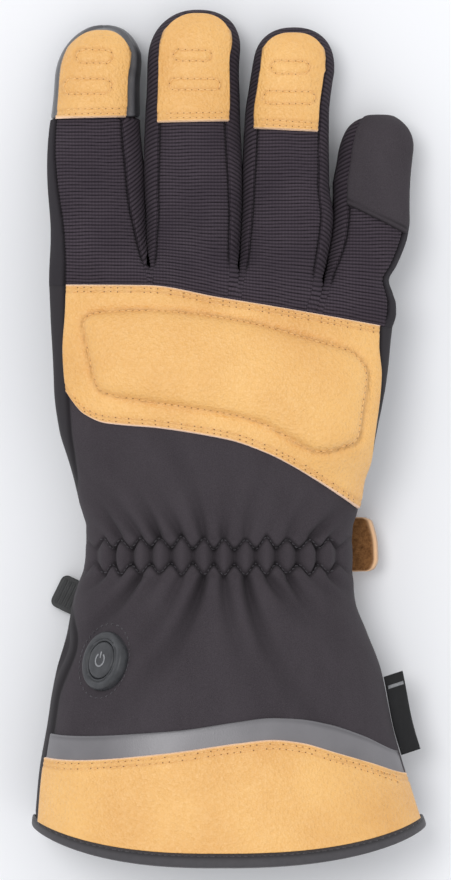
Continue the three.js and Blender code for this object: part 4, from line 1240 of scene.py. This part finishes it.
def makeLittleCap():
    base = capGrid("little", littleCap, edgeShares(24, 36), edgeShares(30, 40))
    walked, _, fromEdge = edgeLengths(base)
    fromRow = walked - littleCap["row"]
    height = littleCap["gap"] + rolled(fromEdge, littleCap["thickness"], 1.2) \
        + groove(fromRow, 0.25, 0.4) + littleCap["wave"] * softWaves(base, 2)
    # a darker stitched row, and painted shade along the cap's edge
    seams = np.maximum(0.6 * bump(fromRow, 0.35), 0.7 * ease(1 - fromEdge / 0.5))
    piece = sewOn("little_cap_cloth", base, height, 0.05, materials["softshell"],
                  {"seam": seams, "palmSide": 0 * height})
    fit(piece, "softshell", "little_tip_cap")


makeLittleCap()


touchCap = {"clearance": 0.12, "thickness": 1.5, "thinned": 0.55, "start": 0.004, "seam": 0.93,
            "backColumns": 60, "palmColumns": 44}


def makeTouchCap():
    # a hood of leather round the index tip, thin where the tan cap lies over it
    cap = caps["index"]
    across, isBack = around(touchCap["backColumns"], touchCap["palmColumns"])
    start = np.interp(across, [-1, 1], [cap["startLeft"], cap["startRight"]]) + touchCap["start"]
    tipLength, straight = tipLengths(fingers["index"])
    shaftRun, tipRun = (1 - start) * straight, tipLength * math.pi / 2 * 0.84
    rows = np.concatenate([[0, 0.004, 0.012, 0.024], np.linspace(0.04, 0.985, 66)])[:, None]
    run = rows * (shaftRun + tipRun)
    at = np.where(run < shaftRun, start + run / straight, 1 + (run - shaftRun) / tipRun)
    at = np.minimum(at, 1.985)
    thin = isBack * ease((0.9 - np.abs(across)) / 0.12)
    thickness = mix(touchCap["thickness"], touchCap["thinned"], thin) * mix(0.25, 1, rolled(run, 1))
    clearance = touchCap["clearance"]
    under = fingerPoint("index", across, at, isBack, clearance)
    over = fingerPoint("index", across, at, isBack, clearance + thickness)
    seamLine = bump((np.abs(across) - touchCap["seam"]) * 15, 0.5) * isBack * np.ones(at.shape)
    over = over - normalsOf(over, True) * (0.25 * seamLine * (run > 1))[..., None]
    points, faces = ringStack(np.concatenate([under[::-1], over]), ends=True)
    piece = addMesh("index_touch_leather", points, faces, materials["darkLeather"], {
        "seam": skin(under, 0.5 * seamLine), "edge": skin(under, ease(1 - run / 0.5))})
    fit(piece, "dark_leather", "index_touch_cap")


makeTouchCap()
print("finger caps made")


# The thumb, folded under the palm

thumb = {"thickness": 20, "width": 29, "length": 66, "lean": 17, "root": (-37, 24), "wall": 3.5,
         "rootShare": 0.4, "rootSide": 16.5, "rootDepth": 2.5, "columns": 52,
         "seam": 0.86, "seamDepth": 0.5, "wave": 0.35}


def thumbPoint(across, at, back, grow=0):
    across, at = np.broadcast_arrays(np.asarray(across, float), np.asarray(at, float))
    reach, narrowing = tipShape(thumb, at, grow)
    half = (thumb["width"] / 2 + grow) * mix(0.94, 1, ease(at)) * narrowing
    lean = math.radians(thumb["lean"])
    x = thumb["root"][0] + reach * math.sin(lean) + half * across * math.cos(lean)
    y = thumb["root"][1] + reach * math.cos(lean) - half * across * math.sin(lean)
    # the underside rises into the palm at the root
    rooted = ease(1 - at / thumb["rootShare"])
    side = mix(thumb["thickness"] / 2, thumb["rootSide"], rooted)
    below = mix(thumb["thickness"] / 2 + 1, thumb["rootDepth"], rooted)
    rise = np.maximum(np.where(back, thumb["thickness"] - side, below) + grow, 0.5)
    lip = np.minimum(shell["sideLip"], 0.6 * rise)
    height = (lip + (rise - lip) * arch(across, 2.6, 0.5)) * narrowing
    z = np.where(back, side + height, side - height)
    return np.stack([x, y, np.maximum(-grow, z)], -1)


def makeThumb():
    across, isBack = around(thumb["columns"], thumb["columns"])
    ats = np.concatenate([np.linspace(0.06, 1, 70), 1 + np.linspace(0, 0.985, 40)[1:]])[:, None]
    rings = thumbPoint(across, ats, isBack)
    seamLine = bump((np.abs(across) - thumb["seam"]) * 16, 0.6) * isBack * np.ones(ats.shape)
    z = rings[..., 2]
    height = (thumb["wave"] * softWaves(rings, 1.5) - thumb["seamDepth"] * seamLine) \
        * ease((z - 0.3) / 2) * ease((19.5 - z) / 1.5 + 0.4)
    outer = rings + normalsOf(rings, True) * height[..., None]
    outer[..., 2] = np.clip(outer[..., 2], 0, thumb["thickness"])
    inner = thumbPoint(across, np.linspace(0.06, 1.75, 16)[:, None], isBack, -thumb["wall"])
    points, faces = ringStack(np.concatenate([inner[::-1], outer]), ends=True)
    piece = addMesh("thumb_leather", points, faces, materials["darkLeather"],
                    {"seam": skin(inner, 0.6 * seamLine), "edge": np.zeros(len(points))})
    fit(piece, "dark_leather", "thumb")


makeThumb()


# The wrist strap, whose pull tab shows at the outer side

strap = {"width": 19.5, "thickness": 1.5, "centre": 3.3, "start": -0.72, "tabFrom": 0.84,
         "tabRise": 9, "gap": 0.3, "tabColumns": 22, "columns": 90}
tabEnd = {"at": [-1, -0.9, -0.55, 0, 0.6, 0.88, 1],  # across the strap, bottom to top
          "reach": [4.6, 6.6, 7.9, 7.7, 6.4, 5.0, 2.4]}  # past the side of the wrist


def makeStrap():
    tabColumns, columns = strap["tabColumns"], strap["columns"]
    across = np.concatenate([np.full(tabColumns, strap["tabFrom"]),
                             np.linspace(strap["tabFrom"], strap["start"], columns)[1:]])
    share = np.concatenate([np.linspace(1, 0, tabColumns), np.zeros(columns - 1)])
    rows = mix(-1, 1, edgeShares(strap["width"], 14, (0, 0.25, 0.6, 1.1, 1.7)))[:, None]
    reached = shell["wristWidth"] / 2 + curve(tabEnd, "reach", rows)
    y = strap["centre"] + rows * (1 - 0.03 * share) * strap["width"] / 2
    at = np.where(y < 0, y / shell["cuffLength"], y / shell["handLength"])
    reach = (reached - handPoint(across, 0, False)[:, 0]) * share

    def grid(grow):
        points = handPoint(across, at, False, grow)
        points[..., 1] = y
        points[..., 0] += reach
        points[..., 2] += reach * math.tan(math.radians(strap["tabRise"]))
        return points

    under, over = grid(strap["gap"]), grid(strap["gap"] + strap["thickness"])
    fromEdge = edgeLengths(over)[2]
    piece = slab("strap_suede", over, under, materials["suede"],
                 {"edge": ease(1.25 - fromEdge / 0.7), "seam": 0 * fromEdge})
    fit(piece, "suede", "wrist_strap")


makeStrap()


# The woven label in the outer side seam

label = {"low": -0.735, "high": -0.45, "reach": 7, "thickness": 1.4, "gap": 0.3, "lean": 0.33,
         "line": -0.485}


def makeLabel():
    reach = np.linspace(label["gap"], label["reach"], 14)[:, None]
    edge = handPoint(1, np.linspace(label["low"], label["high"], 40), True)
    edge[:, 2] -= shell["sideLip"]
    wave = 0.25 * np.sin(np.linspace(0, 7, len(edge))) * reach / label["reach"]
    taper = np.sqrt(np.clip(1 - (reach / (label["reach"] + 0.05)) ** 6, 0.05, 1))

    def grid(way):
        points = np.repeat(edge[None], len(reach), 0)
        points[..., 0] += reach
        points[..., 1] += label["lean"] * reach
        points[..., 2] += way * label["thickness"] / 2 * taper + wave
        return points

    over, under = grid(1), grid(-1)
    blank = np.zeros(over.shape[:2])
    weave = np.stack([over[..., 0] * 0.8, over[..., 1] * 0.8, blank], -1)
    piece = slab("side_label_weave", over, under, materials["label"],
                 {"weave": weave, "seam": blank})
    fit(piece, "woven_label", "side_label")
    # one plain pale line woven across it
    columns = np.linspace(label["gap"] + 0.8, label["reach"] - 0.5, 12)
    places = handPoint(1, label["line"] - np.array([0, 0.006, 0.009, 0.012]), True)
    strip = np.repeat(places[:, None], len(columns), 1)
    strip[..., 0] += columns
    strip[..., 1] += label["lean"] * columns
    strip[..., 2] += label["thickness"] / 2 + 0.1 - shell["sideLip"]
    mark = slab("side_label_line", strip, strip - [0, 0, 0.25], materials["paleMark"])
    fit(mark, "woven_label")


makeLabel()


# The switch on the cuff

def turned(name, profile, material, sides, grooves=None):
    # a round piece from a profile of radius and height, on the switch's seat
    place, over, along, out = switchSeat()
    angles = np.arange(sides) * 2 * math.pi / sides
    radius, height = np.array(profile, float).T[..., None]
    lift = np.repeat(height, sides, 1)
    if grooves is not None:
        lift = lift + grooves(radius, angles)
    rings = place + radius[..., None] * (np.cos(angles)[:, None] * over
                                         + np.sin(angles)[:, None] * along) + lift[..., None] * out
    points, faces = ringStack(rings, ends=True)
    return addMesh(name, points, faces, material, {"seam": np.zeros(len(points))})


def makeSwitch():
    rim, cap = switch["diameter"] / 2, switch["capDiameter"] / 2 + 0.3
    high, floor = switch["height"], switch["height"] - switch["dish"]
    housing = [
        (0.01, -3.6), (rim, -3.6), (rim + 0.15, 0), (rim, high - 0.9), (rim - 0.25, high - 0.35),
        (rim - 0.8, high - 0.05), (rim - 1.3, high), (cap + 1.7, high - 0.05),
        (cap + 1.25, high - 0.1), (cap + 1.05, high - 0.5), (cap + 0.75, high - 0.5),
        (cap + 0.6, high - 0.1), (cap + 0.25, high - 0.1), (cap, high - 0.45), (cap, floor),
        (0.01, floor)]

    def breaks(radius, angles):
        # four short bridges over the ring groove
        bridge = sum(bump((np.mod(angles - turn + math.pi, 2 * math.pi) - math.pi) * 8, 0.7)
                     for turn in np.arange(0.25, 2, 0.5) * math.pi)
        return 0.42 * np.clip(bridge, 0, 1) * (np.abs(radius - cap - 0.9) < 0.2)

    piece = turned("switch_housing", housing, materials["rubber"], 120, breaks)
    fit(piece, "rubber", "button_housing")
    low = floor + 0.3
    top = [(0.01, low), (cap - 0.3, low), (cap - 0.3, high - 0.5), (cap - 0.4, high - 0.15),
           (cap - 0.8, high + 0.1), (cap - 1.6, high + 0.2), (cap - 3.2, high + 0.26),
           (0.01, high + 0.3)]
    piece = turned("switch_cap", top, materials["rubber"], 96)
    fit(piece, "rubber", "button_cap")


def makeSymbol():
    # a plain power symbol on the cap: a ring with a gap and a short bar
    place, over, along, out = switchSeat()
    points, faces = [], []

    def ribbon(line, width=0.55):
        start = len(points)
        line = np.array(line, float)
        for (px, py), (sx, sy) in zip(line, sidewaysOf(line) * width / 2):
            for sign, lift in ((-1, 0.17), (-1, 0.41), (1, 0.41), (1, 0.17)):
                points.append(place + over * (px + sx * sign) + along * (py + sy * sign)
                              + out * (switch["height"] + lift))
        faces.extend(gridFaces(len(line), 4, True, start).tolist())
        faces.append([start + 3, start + 2, start + 1, start])
        faces.append(list(range(len(points) - 4, len(points))))

    turns = np.linspace(math.radians(125), math.radians(415), 40)
    ribbon(2.3 * np.stack([np.cos(turns), np.sin(turns)], 1))
    ribbon([(0, 0.6), (0, 2.9)])
    mark = addMesh("switch_symbol", points, [np.array(faces)], materials["paleMark"], smooth=False)
    fit(mark, "rubber")


def sewSwitch():
    # the ring of stitches round the switch
    place, over, along, _ = switchSeat()
    angles = np.arange(80)[:, None] * 2 * math.pi / 80
    ring = place + switch["stitchDiameter"] / 2 * (np.cos(angles) * over + np.sin(angles) * along)
    layStitches("switch_stitching", shellPiece, [(ring[:, :2], True)], materials["darkThread"],
                "softshell", holes=False, pitch=1.9, length=1.3, width=0.45)


makeSwitch()
makeSymbol()
sewSwitch()
print("thumb, strap, label and switch made")


# The clip beside the wrist on its webbing loop

clip = {"at": -0.16, "reach": 7, "length": 15, "width": 12, "thickness": 2.6, "bar": 2, "slot": 3,
        "turn": -26, "webWidth": 9, "webThickness": 1.2, "webReach": 14, "webRise": 14, "gap": 0.3,
        "round": 2.4, "slotRound": 0.6, "ridges": 5, "ridgePitch": 1.6, "ridgeWidth": 9.2}


def roundedRect(x0, x1, y0, y1, radius, steps=6):
    corners = [(x1 - radius, y1 - radius, 0), (x0 + radius, y1 - radius, 90),
               (x0 + radius, y0 + radius, 180), (x1 - radius, y0 + radius, 270)]
    return np.array([(cx + radius * math.cos(math.radians(start + 90 * k / steps)),
                      cy + radius * math.sin(math.radians(start + 90 * k / steps)))
                     for cx, cy, start in corners for k in range(steps + 1)])


def clipFrame():
    # how a place on the clip lies on the glove: x along it, y across and z up
    turn = math.radians(clip["turn"])
    ahead, aside = math.cos(turn), math.sin(turn)
    edge = handPoint(-1, clip["at"], True)
    inward = clip["length"] - clip["reach"]
    origin = np.array([edge[0] + inward * ahead, edge[1] + inward * aside, 0])

    def place(x, y, z):
        return origin + np.array([x * ahead - y * aside, x * aside + y * ahead, z])

    return place


onClip = clipFrame()


def extruded(name, outline, hole, low, high, material, bevel=0.35):
    # a plate with a hole, from outlines in its own plane, with its edges taken off
    count = len(outline)
    points = []
    for ring, inward in ((outline, 1), (hole, -1)):
        small = ring + unit(ring.mean(0) - ring) * bevel * inward
        for shape, level in ((small, low), (ring, low + bevel), (ring, high - bevel),
                             (small, high)):
            points += [onClip(x, y, level) for x, y in shape]
    faces = [gridFaces(4, count, True), gridFaces(4, count, True, 4 * count)[:, ::-1]]
    i = np.arange(count)
    j = (i + 1) % count
    for level, turn in ((0, -1), (3, 1)):
        a, b = level * count, (level + 4) * count
        faces.append(np.stack([a + i, a + j, b + j, b + i], 1)[:, ::turn])
    return addMesh(name, points, faces, material, {"seam": np.zeros(len(points))}, smooth=False)


def makeClip():
    half, lift = clip["width"] / 2, clip["webThickness"] + clip["gap"]
    plate = roundedRect(-clip["length"], 0, -half, half, clip["round"])
    slotHalf = clip["webWidth"] / 2 + clip["gap"]
    slot = roundedRect(-clip["bar"] - clip["slot"], -clip["bar"], -slotHalf, slotHalf,
                       clip["slotRound"])
    piece = extruded("clip_plate", plate, slot, lift, lift + clip["thickness"],
                     materials["plastic"])
    fit(piece, "plastic", "side_clip")


def makeRidges():
    # grip ridges across the clip's outer part
    top = clip["webThickness"] + clip["gap"] + clip["thickness"]
    points, faces = [], []
    corners = ((-1, -1), (1, -1), (1, 1), (-1, 1))
    for k in range(clip["ridges"]):
        x = -clip["length"] + 1.9 + clip["ridgePitch"] * k
        start = len(points)
        for level, spread in ((top - 0.2, 0.5), (top + 0.45, 0.28)):
            points += [onClip(x + sx * spread, sy * clip["ridgeWidth"] / 2, level)
                       for sx, sy in corners]
        faces += gridFaces(2, 4, True, start).tolist()
        faces += [[start + 3, start + 2, start + 1, start],
                  [start + 4, start + 5, start + 6, start + 7]]
    ridges = addMesh("clip_ridges", points, [np.array(faces)], materials["plastic"],
                     {"seam": np.zeros(len(points))}, smooth=False)
    fit(ridges, "plastic")


def makeWebbing():
    # a loop that goes round the clip's bar and back up under the palm
    over = clip["thickness"] + clip["webThickness"] + 2 * clip["gap"]
    outer = -clip["bar"] - clip["gap"] - clip["webThickness"]
    tail = 1.6 * clip["webThickness"]
    far = 0.92 * clip["webReach"]
    line = smoothLoop([
        (far - tail, clip["webRise"] * 0.92 + tail), (6.5, 9),
        (2.2, over + clip["webThickness"] - 0.6), (-1.2, over + 0.6), (outer + 0.75, over - 0.4),
        (outer + 0.6, 2.2), (-1.0, 0.6), (2.4, 0.7), (7, 5.2), (far, clip["webRise"] * 0.86)],
        90, closed=False)
    columns = np.linspace(-clip["webWidth"] / 2, clip["webWidth"] / 2, 13)
    thick = 0.45 * clip["webThickness"] * (1 - 0.45 * (np.abs(columns) / columns[-1]) ** 6)
    sides = []
    for way in (1, -1):
        places = line[:, None] + way * sidewaysOf(line)[:, None] * thick[:, None]
        sides.append(np.array([[onClip(x, across, max(0.02, z))
                                for (x, z), across in zip(row, columns)] for row in places]))
    weave = np.zeros(sides[0].shape)
    weave[..., 0] = np.arange(len(line))[:, None] * 0.6
    weave[..., 1] = columns
    piece = slab("clip_webbing", *sides, materials["webbing"],
                 {"weave": weave, "seam": np.zeros(weave.shape[:2])})
    fit(piece, "webbing", "clip_loop")


makeClip()
makeRidges()
makeWebbing()
print("clip made")


# Floor, light and camera

studio = {
    "photoSize": (451, 880), "distance": 6, "middleHeight": 0.025, "sensor": 36, "farthest": 50,
    "floor": (0.905, 0.91, 0.93), "floorHalf": 6, "floorDrop": 0.0005, "floorShade": 0.985,
    "sky": 0.78, "skyTone": (0.97, 0.98, 1, 1),
    "lights": {"key_light": dict(power=0.88, softness=24, place=(-0.42, 0.3, 1.5)),
               "fill_light": dict(power=0.26, softness=80, place=(0.5, -0.35, 1.6))},
}


def makeStudio():
    half = studio["floorHalf"]
    floorMesh = bpy.data.meshes.new("floor")
    corners = [(-half, -half, 0), (half, -half, 0), (half, half, 0), (-half, half, 0)]
    floorMesh.from_pydata(corners, [], [(0, 1, 2, 3)])
    paper = Finish("paper", 0.9, Specular_IOR_Level=0.1)
    shade = (*(studio["floorShade"] * part for part in studio["floor"]), 1)
    floorMesh.materials.append(
        paper.finish(paper.mottle(paper.noise(6), (*studio["floor"], 1), shade)))
    floor = addObject("floor", floorMesh)
    floor.location.z = -studio["floorDrop"]

    world = bpy.data.worlds.new("studio")
    world.use_nodes = True
    background = world.node_tree.nodes["Background"].inputs
    background["Color"].default_value = studio["skyTone"]
    background["Strength"].default_value = studio["sky"]
    bpy.context.scene.world = world

    for name, light in studio["lights"].items():
        lamp = bpy.data.lights.new(name, "SUN")
        lamp.energy = light["power"]
        lamp.angle = math.radians(light["softness"])
        made = addObject(name, lamp)
        made.location = light["place"]
        made.rotation_euler = Vector(light["place"]).to_track_quat("Z", "Y").to_euler()

    data = bpy.data.cameras.new("camera")
    wide, high = studio["photoSize"]
    data.sensor_width = studio["sensor"]
    data.lens = studio["sensor"] * studio["distance"] / (high * photoScale * millimetre)
    data.clip_end = studio["farthest"]
    camera = addObject("camera", data)
    x, y = (fromPhoto((wide / 2, high / 2)) + shift[:2]) * millimetre
    camera.location = (x, y, studio["distance"] + studio["middleHeight"])
    bpy.context.scene.camera = camera
    bpy.context.scene.view_settings.view_transform = "Standard"


makeStudio()
